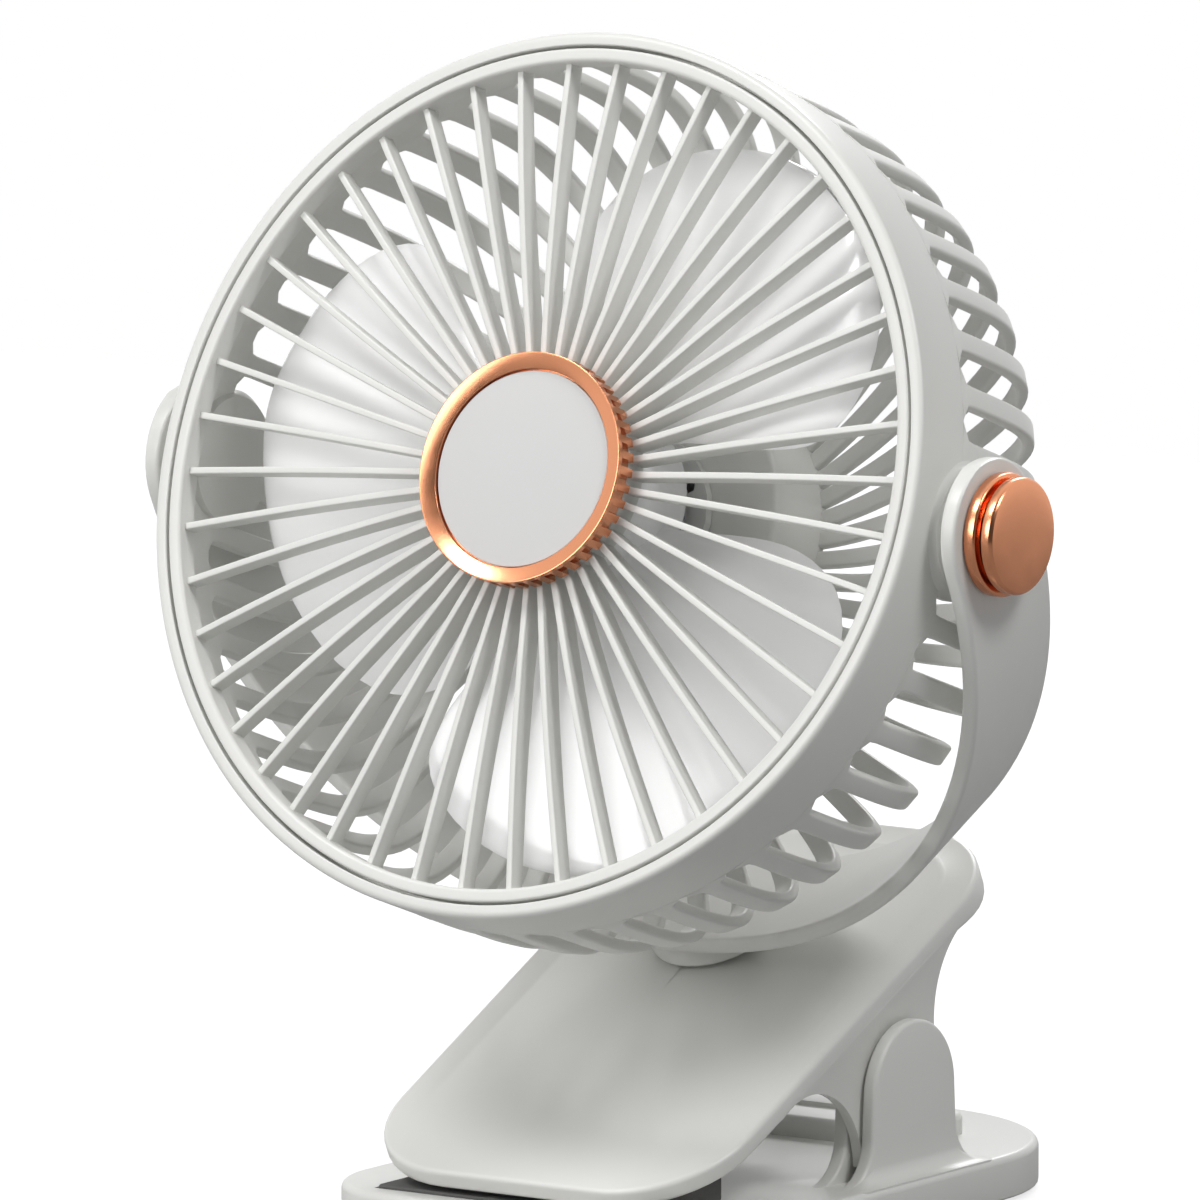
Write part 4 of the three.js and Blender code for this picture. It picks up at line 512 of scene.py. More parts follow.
def rear_cage():
    """Ribs, band, pivot bosses and motor housing."""
    rib = cage_rib(cage_path(), 2 * math.pi / CAGE_RIBS)
    ribs = ring_of("cage_ribs", rib, CAGE_RIBS, "shell_plastic", HEAD, -CAGE_RIB_PHASE, 40)
    dressed(ribs, "shell_plastic", "head", "rear_cage")
    band = lathe(fillet([(BAND_INNER_R, BAND_FRONT), (BAND_R, BAND_FRONT), (BAND_R, BAND_REAR + 0.3),
                         (BAND_INNER_R, BAND_REAR + 0.3)], [0.3, 1.5, 0.3, 0.3]), segments=240)
    bore, room = HOUSING_R - HOUSING_WALL, HOUSING_FLOOR + HOUSING_FLOOR_WALL
    housing = lathe(fillet([(0, HOUSING_FLOOR), (HOUSING_R, HOUSING_FLOOR), (HOUSING_R, HOUSING_REAR),
                            (bore, HOUSING_REAR), (bore, room), (0, room)], [0, 1.2, 0.8, 0.3, 0.3, 0]))
    inner, neck, face, r = BAND_INNER_R - PIVOT_BOSS_DEPTH, BAND_R - 1.2, PIVOT_BOSS_FACE, PIVOT_BOSS_R
    boss = [(0, inner), (r + 0.4, inner), (r + 1.6, inner + 1.5), (r + 1.6, neck), (r + 0.5, neck + 0.7),
            (r, neck + 1.8), (r, face - 0.4), (r - 0.4, face), (0, face)]
    bosses = [lathe([(across, side * x) for across, x in boss], axis="X", segments=72) for side in (1, -1)]
    made = raw_object("cage", merged(band, housing, *bosses), HEAD, 40)
    return dressed(made, "shell_plastic", "head", "rear_cage")


rear_cage()

# ---------------------------------------------------------------- head: front grille and hub

RING_R, RING_INNER_R, RING_DEPTH = 82.1, 79.5, 5
SPOKES, SPOKE_PHASE, SPOKE_WIDTH, SPOKE_DEPTH = 46, 4, 1.35, 5.4
SPOKE_HUB_FRONT, SPOKE_RIM_FRONT, SPOKE_CROWN = -18, -16.4, 1.2
SPOKE_RIM_DEPTH_SHARE, SPOKE_REAR_WIDTH_SHARE, SPOKE_STATIONS = 0.75, 0.7, 20
HUB_RING_R, HUB_DISC_R, HUB_FRONT, HUB_REAR = 22.25, 18.87, -23.7, -18.3
HUB_LIP_DEPTH, HUB_FRONT_SLOPE, HUB_DISC_SEAT = 1.4, 1, 2.3
BOSS_R = 20.87


def spoke():
    """One fin of the grille, crowned to the front and tapered to the rear."""
    half = SPOKE_WIDTH / 2
    rear_half = half * SPOKE_REAR_WIDTH_SHARE
    rings = []
    for k in range(SPOKE_STATIONS + 1):
        t = k / SPOKE_STATIONS
        r = lerp(BOSS_R - 1, RING_INNER_R + 1, t)
        front = lerp(SPOKE_HUB_FRONT, SPOKE_RIM_FRONT, t) - SPOKE_CROWN * math.sin(math.pi * t)
        deep = lerp(SPOKE_DEPTH, SPOKE_DEPTH * SPOKE_RIM_DEPTH_SHARE, t)
        section = fillet([(-half, 0), (half, 0), (rear_half, deep), (-rear_half, deep)],
                         [0.3, 0.3, 0.2, 0.2], 3)
        rings.append([(r, front + b, a) for a, b in section])
    return loft(rings)


def front_grille():
    """Fins between a centre boss and an outer ring."""
    rear, boss_rear = BAND_FRONT + RING_DEPTH, SPOKE_HUB_FRONT + SPOKE_DEPTH
    ring = lathe(fillet([(RING_INNER_R, BAND_FRONT), (RING_R, BAND_FRONT), (RING_R, rear),
                         (RING_INNER_R, rear)], [0.9, 0.5, 0.3, 0.3]), segments=240)
    boss = lathe(fillet([(0, SPOKE_HUB_FRONT), (BOSS_R, SPOKE_HUB_FRONT), (BOSS_R, boss_rear),
                         (0, boss_rear)], [0, 0.4, 0.4, 0]))
    spokes = ring_of("grille_spokes", spoke(), SPOKES, "shell_plastic", HEAD, -SPOKE_PHASE, 40)
    dressed(spokes, "shell_plastic", "head", "front_grille")
    made = raw_object("grille", merged(ring, boss), HEAD, 40)
    return dressed(made, "shell_plastic", "head", "front_grille")


front_grille()


def hub_ring():
    """A trim ring with a front that slopes inwards and a toothed side, one tooth for each fin."""
    inner, slim, rim, seat = HUB_DISC_R + 0.3, HUB_RING_R - 1.2, HUB_DISC_R - 2, HUB_FRONT + HUB_DISC_SEAT
    lip = HUB_FRONT + HUB_LIP_DEPTH
    body = lathe(fillet([(inner, HUB_FRONT + HUB_FRONT_SLOPE), (HUB_RING_R, HUB_FRONT), (HUB_RING_R, lip),
                         (slim, lip), (slim, HUB_REAR), (rim, HUB_REAR), (rim, seat), (inner, seat)],
                        [0.12, 0.25, 0.2, 0.2, 0.2, 0, 0, 0]), segments=184)
    half = HUB_RING_R * math.pi / SPOKES / 2
    tooth = loft([[(slim - 0.3, y, -half), (HUB_RING_R - lean, y, -half),
                   (HUB_RING_R - lean, y, half), (slim - 0.3, y, half)]
                  for y, lean in [(lip - 0.2, 0), (HUB_REAR - 0.3, 0), (HUB_REAR, 0.25)]])
    teeth = ring_of("hub_teeth", tooth, SPOKES, "rose_gold_trim", HEAD, -SPOKE_PHASE, 30)
    dressed(teeth, "rose_gold_trim", "head", "hub_ring")
    made = raw_object("hub_trim", body, HEAD, 30)
    return dressed(made, "rose_gold_trim", "head", "hub_ring")


hub_ring()


def hub_disc():
    """The bare satin disc inside the trim ring."""
    front, rear = HUB_FRONT + 1.5, HUB_FRONT + 2.2
    disc = lathe(fillet([(0, front), (HUB_DISC_R, front), (HUB_DISC_R, rear), (0, rear)], [0, 0.2, 0, 0]))
    dressed(raw_object("hub_plate", disc, HEAD, 30), "hub_disc", "head", "hub_disc")


hub_disc()

# ---------------------------------------------------------------- impeller

IMPELLER_HUB_R, IMPELLER_BORE_R, IMPELLER_FRONT, IMPELLER_REAR, IMPELLER_WALL = 17, 12.7, -9.5, 9, 1.8
BLADES, BLADE_PHASE, BLADE_TIP_R, BLADE_HALF_THICKNESS, BLADE_BELLY = 3, 68, 75, 0.8, 1.6
BLADE_HALF_SPREAD, BLADE_SWEEP, ROOT_PITCH, TIP_PITCH, PITCH_SHARE = 50, 16, 30, 13, 0.62
TIP_ROUND_START, TIP_ROUND_LENGTH = 0.62, 0.385
BLADE_STATIONS, CHORD_STATIONS = 26, 28


def blade_ring(r):
    """The blade's closed section at one radius, as points round its chord."""
    t = (r - IMPELLER_HUB_R) / (BLADE_TIP_R - IMPELLER_HUB_R)
    out = max(t, 0)
    spread = BLADE_HALF_SPREAD * (0.66 + 0.34 * math.sin(math.pi * min(out * 0.9 + 0.08, 1)))
    half = spread * math.sqrt(max(1 - max((t - TIP_ROUND_START) / TIP_ROUND_LENGTH, 0) ** 2.4, 0))
    sweep = -BLADE_SWEEP * out ** 1.5
    pitch = math.radians(lerp(ROOT_PITCH, TIP_PITCH, min(out, 1)))
    middle = (IMPELLER_FRONT + IMPELLER_REAR) / 2

    def place(q, face):
        angle = math.radians(sweep + q * half)
        thick = BLADE_HALF_THICKNESS * (1 - 0.55 * q * q) * math.sqrt(max(1 - q ** 8, 0.02))
        y = middle + q * math.radians(half) * r * math.tan(pitch) * PITCH_SHARE - BLADE_BELLY * (1 - q * q)
        return (r * math.cos(angle), y + face * thick, r * math.sin(angle))

    along = [math.sin(math.pi / 2 * (-1 + 2 * i / CHORD_STATIONS)) for i in range(CHORD_STATIONS + 1)]
    return [place(q, -1) for q in along] + [place(-q, 1) for q in along]


def impeller():
    """Three wide blades on a cup hub."""
    room = IMPELLER_FRONT + IMPELLER_WALL
    hub = lathe(fillet([(0, IMPELLER_FRONT), (IMPELLER_HUB_R, IMPELLER_FRONT),
                        (IMPELLER_HUB_R, IMPELLER_REAR), (IMPELLER_BORE_R, IMPELLER_REAR),
                        (IMPELLER_BORE_R, room), (0, room)], [0, 3.2, 0.4, 0.3, 0.3, 0], 6))
    reach = BLADE_TIP_R - IMPELLER_HUB_R
    radii = [IMPELLER_HUB_R - 0.6]
    radii += [IMPELLER_HUB_R + reach * 0.995 * math.sin(math.pi / 2 * i / BLADE_STATIONS)
              for i in range(1, BLADE_STATIONS + 1)]
    blade = loft([blade_ring(r) for r in radii])
    blades = ring_of("fan_blades", blade, BLADES, "impeller_plastic", HEAD, -BLADE_PHASE, 50)
    dressed(blades, "impeller_plastic", "impeller", "impeller")
    return dressed(raw_object("fan_hub", hub, HEAD, 50), "impeller_plastic", "impeller", "impeller")


impeller()

# ---------------------------------------------------------------- yoke and pivot caps

STRAP_HALF_SPAN, STRAP_DROP, STRAP_SQUARENESS = 92.3, 94.6, 2.07
STRAP_THICKNESS, STRAP_HALF_WIDTH, STRAP_EDGE_R = 3.4, 14.2, 1.0
EYE_STATIONS, STRAP_STATIONS = 12, 96
COLLAR_R, COLLAR_TOP, COLLAR_BOTTOM = 12, -93, -99.6
STUB_R, STUB_BORE_R, STUB_TOP, STUB_BOTTOM = 6.5, 3, -95, -113.2
PLUG_ROOM_R, PLUG_ROOM_DEPTH = 9.6, 2.2
CAP_SEAT, CAP_BORE_R, CAP_BASE_R, CAP_BASE_HEIGHT, CAP_STEP_R, CAP_STEP_HEIGHT = (
    STRAP_HALF_SPAN + 0.3, 6.3, 11.6, 2.4, 7.9, 1.6)
CAP_STEM_R, CAP_FLANGE_R, CAP_R = 7.6, 9.4, 11


def strap_section(point, normal, half):
    """The strap's rounded section, with its outer face on the given point."""
    inner = -STRAP_THICKNESS
    section = fillet([(0, -half), (0, half), (inner, half), (inner, -half)], [STRAP_EDGE_R] * 4, 4)
    return [(point[0] + normal[0] * d, w, point[1] + normal[1] * d) for d, w in section]


def yoke():
    """A U strap with a round eye on each side, with the collar and the swivel stub under it."""
    power = 2 / STRAP_SQUARENESS
    path = []
    for k in range(EYE_STATIONS + 1):
        h = STRAP_HALF_WIDTH * math.cos(math.pi / 2 * k / EYE_STATIONS)
        width = math.sqrt(max(STRAP_HALF_WIDTH ** 2 - h ** 2, 0.25))
        path.append(((STRAP_HALF_SPAN, h), (1, 0), max(width, 1.3)))
    for k in range(1, STRAP_STATIONS):
        angle = math.pi * k / STRAP_STATIONS
        c, s = math.cos(angle), math.sin(angle)
        p = (STRAP_HALF_SPAN * math.copysign(abs(c) ** power, c), -STRAP_DROP * s ** power)
        rise = STRAP_SQUARENESS - 1
        n = Vector((math.copysign(abs(p[0] / STRAP_HALF_SPAN) ** rise / STRAP_HALF_SPAN, p[0]),
                    -abs(p[1] / STRAP_DROP) ** rise / STRAP_DROP)).normalized()
        path.append((p, tuple(n), STRAP_HALF_WIDTH))
    path += [((-p[0], p[1]), (-n[0], n[1]), w) for p, n, w in reversed(path[:EYE_STATIONS + 1])]
    strap = raw_object("strap", loft([strap_section(p, n, w) for p, n, w in path]), SWIVEL, 40)
    collar = lathe(fillet([(0, COLLAR_BOTTOM), (COLLAR_R, COLLAR_BOTTOM), (COLLAR_R, COLLAR_TOP),
                           (0, COLLAR_TOP)], [0, 0.9, 0, 0]), axis="Z", segments=72)
    stub = lathe([(STUB_BORE_R, STUB_BOTTOM), (STUB_R, STUB_BOTTOM), (STUB_R, STUB_TOP),
                  (STUB_BORE_R, STUB_TOP)], axis="Z", segments=48)
    floor, past = -(STRAP_HALF_SPAN - PLUG_ROOM_DEPTH), -(STRAP_HALF_SPAN + 1.2)
    plug_room = lathe([(0, floor), (PLUG_ROOM_R, floor), (PLUG_ROOM_R, past), (0, past)],
                      axis="X", segments=64)
    shaped(strap, [raw_object("plug_room", plug_room, SWIVEL)], "DIFFERENCE")
    strap.name = "yoke_strap"
    foot = raw_object("yoke_collar", merged(collar, stub), SWIVEL, 40)
    dressed(foot, "shell_plastic", "yoke", "yoke")
    return dressed(strap, "shell_plastic", "yoke", "yoke")


yoke()


def pivot_cap():
    """The right cap: a base ring in the eye, and a disc on a neck over it."""
    top, step = CAP_SEAT + CAP_BASE_HEIGHT, CAP_SEAT + CAP_STEP_HEIGHT
    base = lathe(fillet([(CAP_BORE_R, CAP_SEAT), (CAP_BASE_R, CAP_SEAT), (CAP_BASE_R, top), (CAP_STEP_R, top),
                         (CAP_STEP_R, step), (CAP_BORE_R, step)], [0, 0.35, 0.5, 0, 0, 0]), axis="X")
    dressed(raw_object("pivot_cap_base", base, SWIVEL, 30), "rose_gold_trim", "yoke", "cap_ring_right")
    foot, neck = CAP_SEAT + 1.9, CAP_SEAT + 2.7
    crown = [(CAP_R * math.sin(math.radians(a)), neck + 0.7 + 2.2 + 0.4 * math.cos(math.radians(a)) ** 0.7)
             for a in range(0, 74, 8)]
    disc = [(0, foot), (CAP_STEM_R, foot), (CAP_STEM_R, neck), (CAP_FLANGE_R, neck),
            (CAP_FLANGE_R, neck + 0.7), (10.7, neck + 0.7), (10.93, neck + 0.82), (CAP_R, neck + 1.1),
            (CAP_R, neck + 2.3), (10.93, neck + 2.62), (10.75, neck + 2.85)] + crown[::-1]
    dressed(raw_object("pivot_cap", lathe(disc, axis="X"), SWIVEL, 30),
            "rose_gold_trim", "yoke", "cap_disc_right")


pivot_cap()

# ---------------------------------------------------------------- lever

# Plan shapes are (half width, front, rear, front corner radius, rear corner radius).
LEVER_HALF_WIDTH, LEVER_FRONT, LEVER_REAR, LEVER_CORNER_R = 40, -77, 48, 22
LEVER_SHAPE = (LEVER_HALF_WIDTH, LEVER_FRONT, LEVER_REAR, LEVER_CORNER_R, LEVER_CORNER_R)
POCKET_SHAPE = (LEVER_HALF_WIDTH, -50, LEVER_REAR, 6, LEVER_CORNER_R)
LEVER_EDGE, HANDLE_EDGE, LEVER_EDGE_R, LEVER_WALL, CREASE = 4, 6.6, 1.1, 2.2, 6.4
PILLOW_HEIGHT, PILLOW_FRONT, PILLOW_LENGTH, PILLOW_PEAK = 4.4, -66, 110, 0.6
PILLOW_SPINE_FRONT, PILLOW_SPINE_REAR = -20, 10
PILLOW_RINGS = [1, 0.97, 0.94, 0.9, 0.85, 0.79, 0.72, 0.64, 0.56, 0.48, 0.4, 0.31, 0.22, 0.13, 0.04]
HINGE_Y, HINGE_Z = 4.5, 25.1
ARCH_Y, ARCH_Z, ARCH_R, ARCH_START = -25.5, 11.5, 17.1, 125
KNUCKLE_R, HANDLE_ARCH_Y, HANDLE_ARCH_R = 14.6, 36.2, 20


def rim_depth(s):
    """How far the rim hangs down at a place along the lever."""
    return lerp(LEVER_EDGE, HANDLE_EDGE, smoothstep(s, 8, 44))


def pillow(u, s):
    """The height of the lever's soft bulge over its rim."""
    across = max(1 - (u / (LEVER_HALF_WIDTH - CREASE)) ** 2, 0)
    t = min(max((s - PILLOW_FRONT) / PILLOW_LENGTH, 0), 1)
    rise = t / PILLOW_PEAK if t < PILLOW_PEAK else (1 - t) / (1 - PILLOW_PEAK)
    return PILLOW_HEIGHT * across * math.sin(math.pi / 2 * rise) ** 1.4


def underside(y, drop):
    """The height of a line under the lever's top at a place in Y."""
    return FOOT.z + (y - FOOT.y) * math.tan(SLOPE) - drop / math.cos(SLOPE)


def lever_outline(inset):
    """The lever's plan outline, with points along its sides for the pillow to bend on."""
    return rounded_outline(*LEVER_SHAPE, inset, 12, (10, 24))


def lever():
    """A rimmed plate with a pillow and a pocket under it, and a skirt with its arches."""
    soft = LEVER_EDGE_R
    turns = [math.pi / 2 * i / 5 for i in range(6)]
    rings = [[(u, s, -rim_depth(s) + soft * (1 - math.cos(a)))
              for u, s in lever_outline(soft * (1 - math.sin(a)))] for a in turns]
    rings += [[(u, s, -soft * (1 - math.sin(a))) for u, s in lever_outline(soft * (1 - math.cos(a)))]
              for a in turns]
    rings.append([(u, s, 0) for u, s in lever_outline(CREASE - 0.3)])
    outer = lever_outline(CREASE)
    for share in PILLOW_RINGS:
        ring = []
        for u, s in outer:
            middle = min(max(s, PILLOW_SPINE_FRONT), PILLOW_SPINE_REAR)
            x, y = u * share, middle + (s - middle) * share
            ring.append((x, y, pillow(x, y)))
        rings.append(ring)
    plate = raw_object("lever_plate", loft(rings), LEVER, 30)

    def upright(shape, inset, steps, low, high):
        return loft([[(u, s, n) for u, s in rounded_outline(*shape, inset, steps)] for n in (low, high)])

    pocket = raw_object("pocket", upright(POCKET_SHAPE, 2.4, 8, -9, -LEVER_WALL), LEVER)
    shaped(plate, [pocket], "DIFFERENCE")
    # The skirt stands 0.04 inside the rim, so that no two faces lie in one plane.
    skirt = raw_object("lever_skirt", upright(LEVER_SHAPE, 0.04, 16, -60, -2), LEVER, 30)
    hollow = raw_object("hollow", upright(LEVER_SHAPE, LEVER_WALL, 16, -61, -1), LEVER)
    reach = HANDLE_ARCH_R / math.tan((math.pi / 2 + SLOPE) / 2)
    corner_z = underside(HANDLE_ARCH_Y - HANDLE_ARCH_R, LEVER_EDGE)
    front = ARCH_Y + ARCH_R * math.cos(math.radians(ARCH_START)) - 6
    rear = HANDLE_ARCH_Y + 4
    outline = (arc(ARCH_Y, ARCH_Z, ARCH_R, ARCH_START, 2, 40) + arc(HINGE_Y, HINGE_Z, KNUCKLE_R, 255, 326, 24)
               + arc(HANDLE_ARCH_Y, corner_z - reach, HANDLE_ARCH_R, 180, 90 + math.degrees(SLOPE), 28)
               + [(rear, underside(rear, 3)), (front, underside(front, 3))])
    past = LEVER_HALF_WIDTH + 1
    side_view = raw_object("side_view", extruded_x(outline, -past, past), WORLD)
    shaped(skirt, [hollow], "DIFFERENCE")
    shaped(skirt, [side_view], "INTERSECT")
    softened(skirt, 0.35)
    dressed(skirt, "shell_plastic", "lever", "lever")
    return dressed(plate, "shell_plastic", "lever", "lever")


lever()

# ---------------------------------------------------------------- base

BASE_SHAPE = (47.2, -70, 70, 20, 40)
PAD_ROOM_SHAPE = (33.3, -65.3, -45.7, 0.3, 0.3)
INLET_SHAPE = (4.8, 67, 72, 0.3, 0.3)
BLOCK_SHAPE = (27, 25, 49.5, 5, 5)
BLOCK_SLOT_SHAPE = (20, 34.25, 40.25, 2.8, 2.8)
BASE_BOTTOM, BASE_TOP, BASE_WALL, BASE_ROOF = 0.8, 9.3, 1.8, 1.6
PAD_ROOM_DEPTH, INLET_HEIGHT, BLOCK_HEIGHT, BLOCK_SLOT_DEPTH = 0.7, 3.1, 4.2, 1
GAP = 0.3
INLET_Z = BASE_BOTTOM + 1.5 + 0.5 + 1 + GAP  # over the cover, a space, the charging board and a gap
EAR_R, EAR_FOOT_R, EAR_THICKNESS, EAR_FLARE = 14, 9, 3, 3.2
EAR_FLANK = EAR_R + 0.4
OUTER_EAR_X, INNER_EAR_X = 40.5, 37.3  # the faces that the lever's sides run between


def ear_outline(bottom):
    """An ear seen from the side: round on top, with hollow feet that run out on the base."""
    front, rear = HINGE_Y - EAR_FLANK - EAR_FOOT_R, HINGE_Y + EAR_FLANK + EAR_FOOT_R
    foot = BASE_TOP + EAR_FOOT_R
    return (arc(HINGE_Y, HINGE_Z, EAR_R, 0, 180, 48) + arc(front, foot, EAR_FOOT_R, 0, -84, 20)
            + [(front, bottom), (rear, bottom)] + arc(rear, foot, EAR_FOOT_R, -96, -180, 20))


def ear_flare(side):
    """The hollow flare between an outer ear's face and the base."""
    def hollow(radius, h):
        return radius - math.sqrt(max(radius ** 2 - (radius - h) ** 2, 0))

    def level(h):
        shape = (EAR_FLANK + hollow(EAR_FOOT_R, h) - 0.2, 0.2, EAR_THICKNESS + hollow(EAR_FLARE, h), 0.5, 2.2)
        return [(side * (OUTER_EAR_X + x), HINGE_Y + y, BASE_TOP + h)
                for y, x in rounded_outline(*shape, 0, 8)]

    foot = [(x, y, BASE_TOP - 0.8) for x, y, _ in level(0)]
    return loft([foot] + [level(EAR_FLARE * (1 - math.cos(math.pi / 2 * k / 12))) for k in range(13)])


def square_cut(name, shape, bottom, top, steps):
    """A tool that cuts a room with sharp upper and lower edges."""
    return raw_object(name, slab(shape, bottom, top, 0.01, 0, steps, 0, 1), WORLD)


def base_shell():
    """The hollow lower jaw with its pad room and inlet, the block behind it, and four ears."""
    body = raw_object("base_tray", slab(BASE_SHAPE, BASE_BOTTOM, BASE_TOP, 1.5, 0, 16, 0.5), WORLD, 30)
    cavity = slab(BASE_SHAPE, BASE_BOTTOM - 1, BASE_TOP - BASE_ROOF, 1, BASE_WALL, 12)
    shaped(body, [raw_object("cavity", cavity, WORLD),
                  square_cut("pad_room", PAD_ROOM_SHAPE, BASE_TOP - PAD_ROOM_DEPTH, BASE_TOP + 1, 2),
                  square_cut("inlet", INLET_SHAPE, INLET_Z - GAP, INLET_Z + INLET_HEIGHT + GAP, 2)],
           "DIFFERENCE")
    block_top = BASE_TOP + BLOCK_HEIGHT
    block = raw_object("block", slab(BLOCK_SHAPE, BASE_TOP - 0.5, block_top, 1.4, 0, 10), WORLD, 30)
    shaped(block, [square_cut("slot", BLOCK_SLOT_SHAPE, block_top - BLOCK_SLOT_DEPTH, BASE_TOP + 6, 8)],
           "DIFFERENCE")
    softened(block, 0.25)
    parts = []
    for side in (1, -1):
        outer = sorted((side * OUTER_EAR_X, side * (OUTER_EAR_X + EAR_THICKNESS)))
        inner = sorted((side * INNER_EAR_X, side * (INNER_EAR_X - EAR_THICKNESS)))
        parts.append(extruded_x(ear_outline(BASE_TOP - 1), *outer, 0.8))
        parts.append(extruded_x(ear_outline(BASE_TOP - 1), *inner, 0.6))
        parts.append(ear_flare(side))
    ears = raw_object("base_ears", merged(*parts), WORLD, 35)
    block.name = "base_block"
    for made in (block, ears):
        dressed(made, "shell_plastic", "base", "base_shell")
    return dressed(body, "shell_plastic", "base", "base_shell")


base_shell()

# ---------------------------------------------------------------- clip spring

SPRING_WIRE_R, SPRING_COIL_R, SPRING_TURNS, SPRING_PITCH = 0.8, 5.6, 8, 2.9
SPRING_LOWER_LEG, SPRING_UPPER_LEG = 20, 17
LEG_STATIONS, POINTS_PER_TURN = 12, 28


def spring_leg_end(angle, length):
    """A point on the line that leaves the coil at an angle."""
    a = math.radians(angle)
    return (HINGE_Y + SPRING_COIL_R * math.cos(a) - length * math.sin(a),
            HINGE_Z + SPRING_COIL_R * math.sin(a) + length * math.cos(a))


def miss_of_floor(angle):
    """How far the lower leg's end is from lying on the base."""
    return abs(spring_leg_end(angle, -SPRING_LOWER_LEG)[1] - BASE_TOP - SPRING_WIRE_R - 0.3)


def miss_of_handle(angle):
    """How far the upper leg's end is from lying under the lever's roof."""
    y, z = spring_leg_end(angle, SPRING_UPPER_LEG)
    depth = pillow(0, (y - FOOT.y) / math.cos(SLOPE)) - LEVER_WALL - SPRING_WIRE_R - 0.6
    return abs(z - FOOT.z - (y - FOOT.y) * math.tan(SLOPE) - depth / math.cos(SLOPE))


def torsion_spring():
    """The clip's spring, one unbroken wire from leg to leg."""
    start = min([-170 + 0.25 * k for k in range(441)], key=miss_of_floor)
    end = min([-60 + 0.25 * k for k in range(481)], key=miss_of_handle)
    half = SPRING_TURNS * SPRING_PITCH / 2
    turns = SPRING_TURNS + (end - start) / 360
    count = round(POINTS_PER_TURN * turns)
    coil = []
    for i in range(count + 1):
        angle = start + 360 * turns * i / count
        coil.append((-half + 2 * half * i / count, *spring_leg_end(angle, 0)))
    lower = [(-half, *spring_leg_end(start, -SPRING_LOWER_LEG * k / LEG_STATIONS))
             for k in range(LEG_STATIONS, 0, -1)]
    upper = [(half, *spring_leg_end(end, SPRING_UPPER_LEG * k / LEG_STATIONS))
             for k in range(1, LEG_STATIONS + 1)]
    made = swept_wire("clip_spring", lower + coil + upper, SPRING_WIRE_R, 14, "steel", WORLD)
    made.data.materials.clear()
    made.data.materials.append(MATERIALS["steel"])
    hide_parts("torsion_spring")
    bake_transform(made)
    return made


torsion_spring()

# ---------------------------------------------------------------- camera, light and floor

AZIMUTH = math.radians(34.3)
ELEVATION = math.radians(8.5)
DISTANCE = 3600
FRAME_WIDTH = 226.1  # millimetres across the picture at the pivot
AIM_RIGHT, AIM_DOWN = 2.71, 19.95  # from the pivot to the middle of the picture
SENSOR = 36
right = Vector((math.cos(AZIMUTH), math.sin(AZIMUTH), 0))
back = Vector((math.sin(AZIMUTH) * math.cos(ELEVATION), -math.cos(AZIMUTH) * math.cos(ELEVATION),
               math.sin(ELEVATION)))
up = back.cross(right)
aim = PIVOT + AIM_RIGHT * right - AIM_DOWN * up

camera = bpy.data.objects.new("camera", bpy.data.cameras.new("camera"))
camera.data.sensor_width = SENSOR
camera.data.lens = SENSOR * DISTANCE / FRAME_WIDTH
camera.data.clip_start = 0.1
camera.data.clip_end = 100
camera.location = (aim + DISTANCE * back) * MM
camera.rotation_mode = "QUATERNION"
camera.rotation_quaternion = (-back).to_track_quat("-Z", "Y")
bpy.context.scene.collection.objects.link(camera)
bpy.context.scene.camera = camera


def lamp(name, place, size, power):
    """A round soft lamp, in metres and watts, turned to the fan."""
    light = bpy.data.lights.new(name, "AREA")
    light.shape = "DISK"
    light.size = size
    light.energy = power
    holder = bpy.data.objects.new(name, light)
    holder.location = place
    target = Vector((0, -0.03, 0.12))
    holder.rotation_mode = "QUATERNION"
    holder.rotation_quaternion = (target - Vector(place)).to_track_quat("-Z", "Y")
    bpy.context.scene.collection.objects.link(holder)


lamp("key", (-0.62, -0.85, 1.45), 0.5, 10.5)
lamp("front", (-0.45, -1.45, 0.62), 0.8, 9.5)
lamp("side", (1.15, -0.2, 1.4), 0.5, 10.5)
lamp("back", (-0.45, 1.25, 1.0), 0.6, 8.0)

FLOOR_HALF, FLOOR_GLOW = 0.9, 0.74
AMBIENT, AMBIENT_STRENGTH = (0.97, 0.98, 1, 1), 0.24
UNLIT_SIDE, UNLIT_FROM, UNLIT_STRENGTH = (0.55, -0.82, 0.15), 0.85, 0.08


def larger(tree, first, second):
    """The larger of two values in a node tree."""
    node = tree.nodes.new("ShaderNodeMath")
    node.operation = "MAXIMUM"
    tree.links.new(first, node.inputs[0])
    tree.links.new(second, node.inputs[1])
    return node.outputs[0]


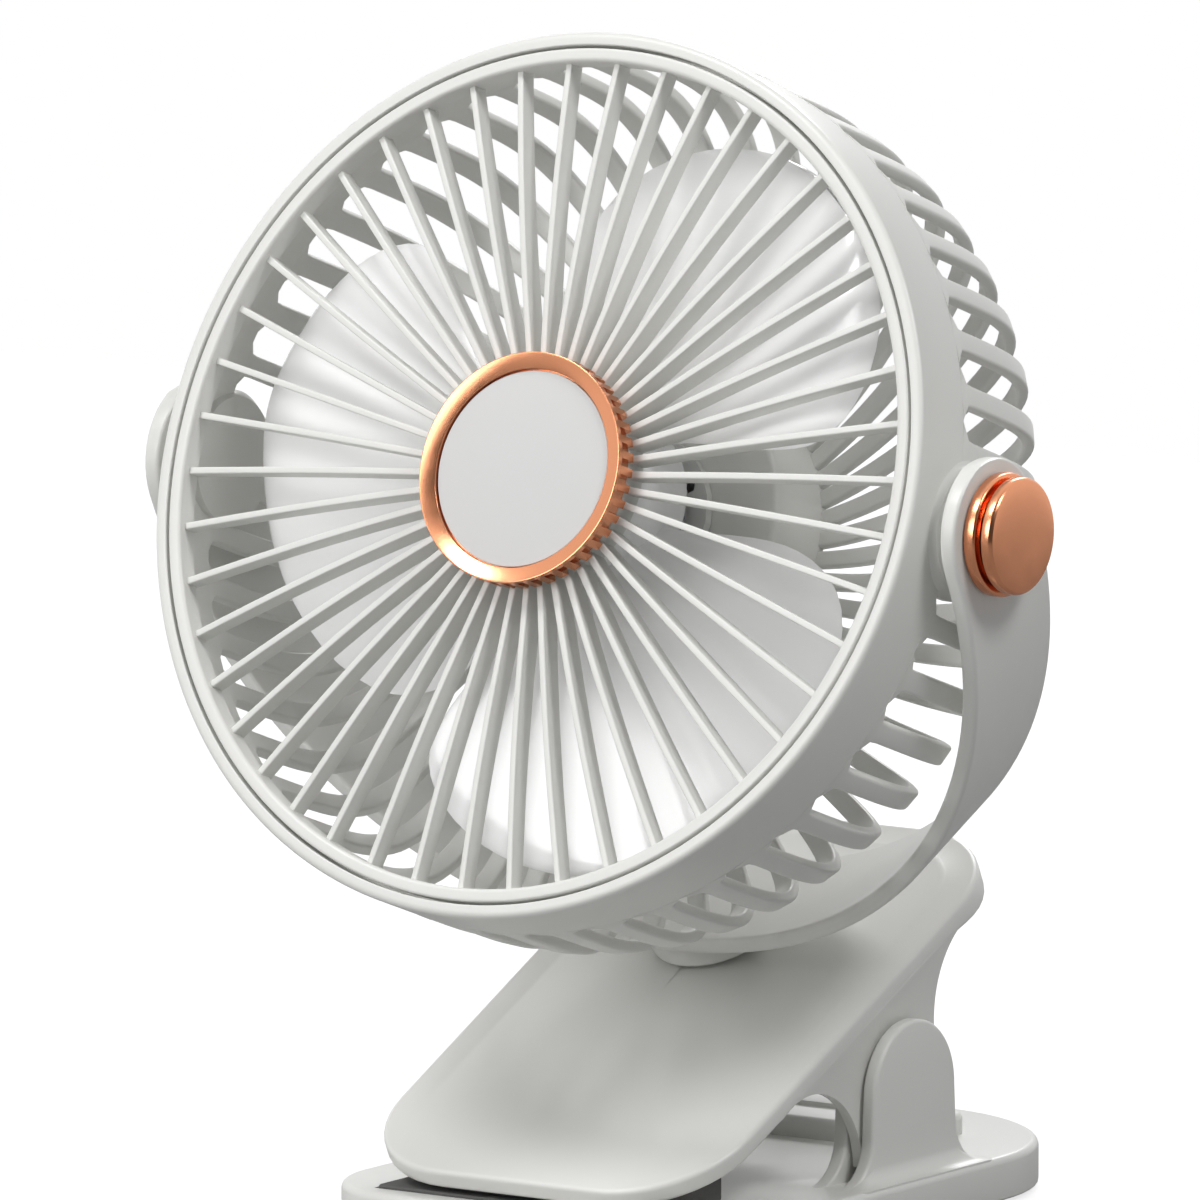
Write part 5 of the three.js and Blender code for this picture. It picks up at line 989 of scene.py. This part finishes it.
def studio():
    """White paper for the camera, a room with one unlit side for reflections, and a plain level of light."""
    world = bpy.data.worlds.new("studio")
    bpy.context.scene.world = world
    world.use_nodes = True
    tree = world.node_tree
    tree.nodes.clear()
    out = tree.nodes.new("ShaderNodeOutputWorld")
    rays = tree.nodes.new("ShaderNodeLightPath")
    seen = larger(tree, rays.outputs["Is Camera Ray"], rays.outputs["Is Transmission Ray"])
    either = larger(tree, seen, rays.outputs["Is Glossy Ray"])
    ambient = tree.nodes.new("ShaderNodeBackground")
    ambient.inputs["Color"].default_value = AMBIENT
    ambient.inputs["Strength"].default_value = AMBIENT_STRENGTH
    paper = tree.nodes.new("ShaderNodeBackground")
    paper.inputs["Color"].default_value = (1, 1, 1, 1)
    heading = tree.nodes.new("ShaderNodeTexCoord")
    facing = tree.nodes.new("ShaderNodeVectorMath")
    facing.operation = "DOT_PRODUCT"
    facing.inputs[1].default_value = UNLIT_SIDE
    card = tree.nodes.new("ShaderNodeMapRange")
    card.inputs["From Min"].default_value = 0.0
    card.inputs["From Max"].default_value = UNLIT_FROM
    card.inputs["To Min"].default_value = 1
    card.inputs["To Max"].default_value = UNLIT_STRENGTH
    tree.links.new(heading.outputs["Generated"], facing.inputs[0])
    tree.links.new(facing.outputs["Value"], card.inputs["Value"])
    tree.links.new(larger(tree, seen, card.outputs["Result"]), paper.inputs["Strength"])
    blend = tree.nodes.new("ShaderNodeMixShader")
    tree.links.new(either, blend.inputs[0])
    tree.links.new(ambient.outputs[0], blend.inputs[1])
    tree.links.new(paper.outputs[0], blend.inputs[2])
    tree.links.new(blend.outputs[0], out.inputs["Surface"])


def pale_floor():
    """A pale floor that the camera sees white where nothing shades it."""
    mesh = bpy.data.meshes.new("floor")
    far = FLOOR_HALF
    mesh.from_pydata([(-far, -far, 0), (far, -far, 0), (far, far, 0), (-far, far, 0)], [], [(0, 1, 2, 3)])
    floor = bpy.data.objects.new("floor", mesh)
    bpy.context.scene.collection.objects.link(floor)
    pale = material("floor", srgb(150, 150, 150), 0.8, vary=0.0, bump=0)
    tree = pale.node_tree
    shader = tree.nodes["Principled BSDF"]
    path = tree.nodes.new("ShaderNodeLightPath")
    glow = tree.nodes.new("ShaderNodeMath")
    glow.operation = "MULTIPLY"
    glow.inputs[1].default_value = FLOOR_GLOW
    tree.links.new(path.outputs["Is Camera Ray"], glow.inputs[0])
    shader.inputs["Emission Color"].default_value = (1, 1, 1, 1)
    tree.links.new(glow.outputs[0], shader.inputs["Emission Strength"])
    floor.data.materials.append(pale)


studio()
pale_floor()

bpy.context.scene.view_settings.view_transform = "Standard"
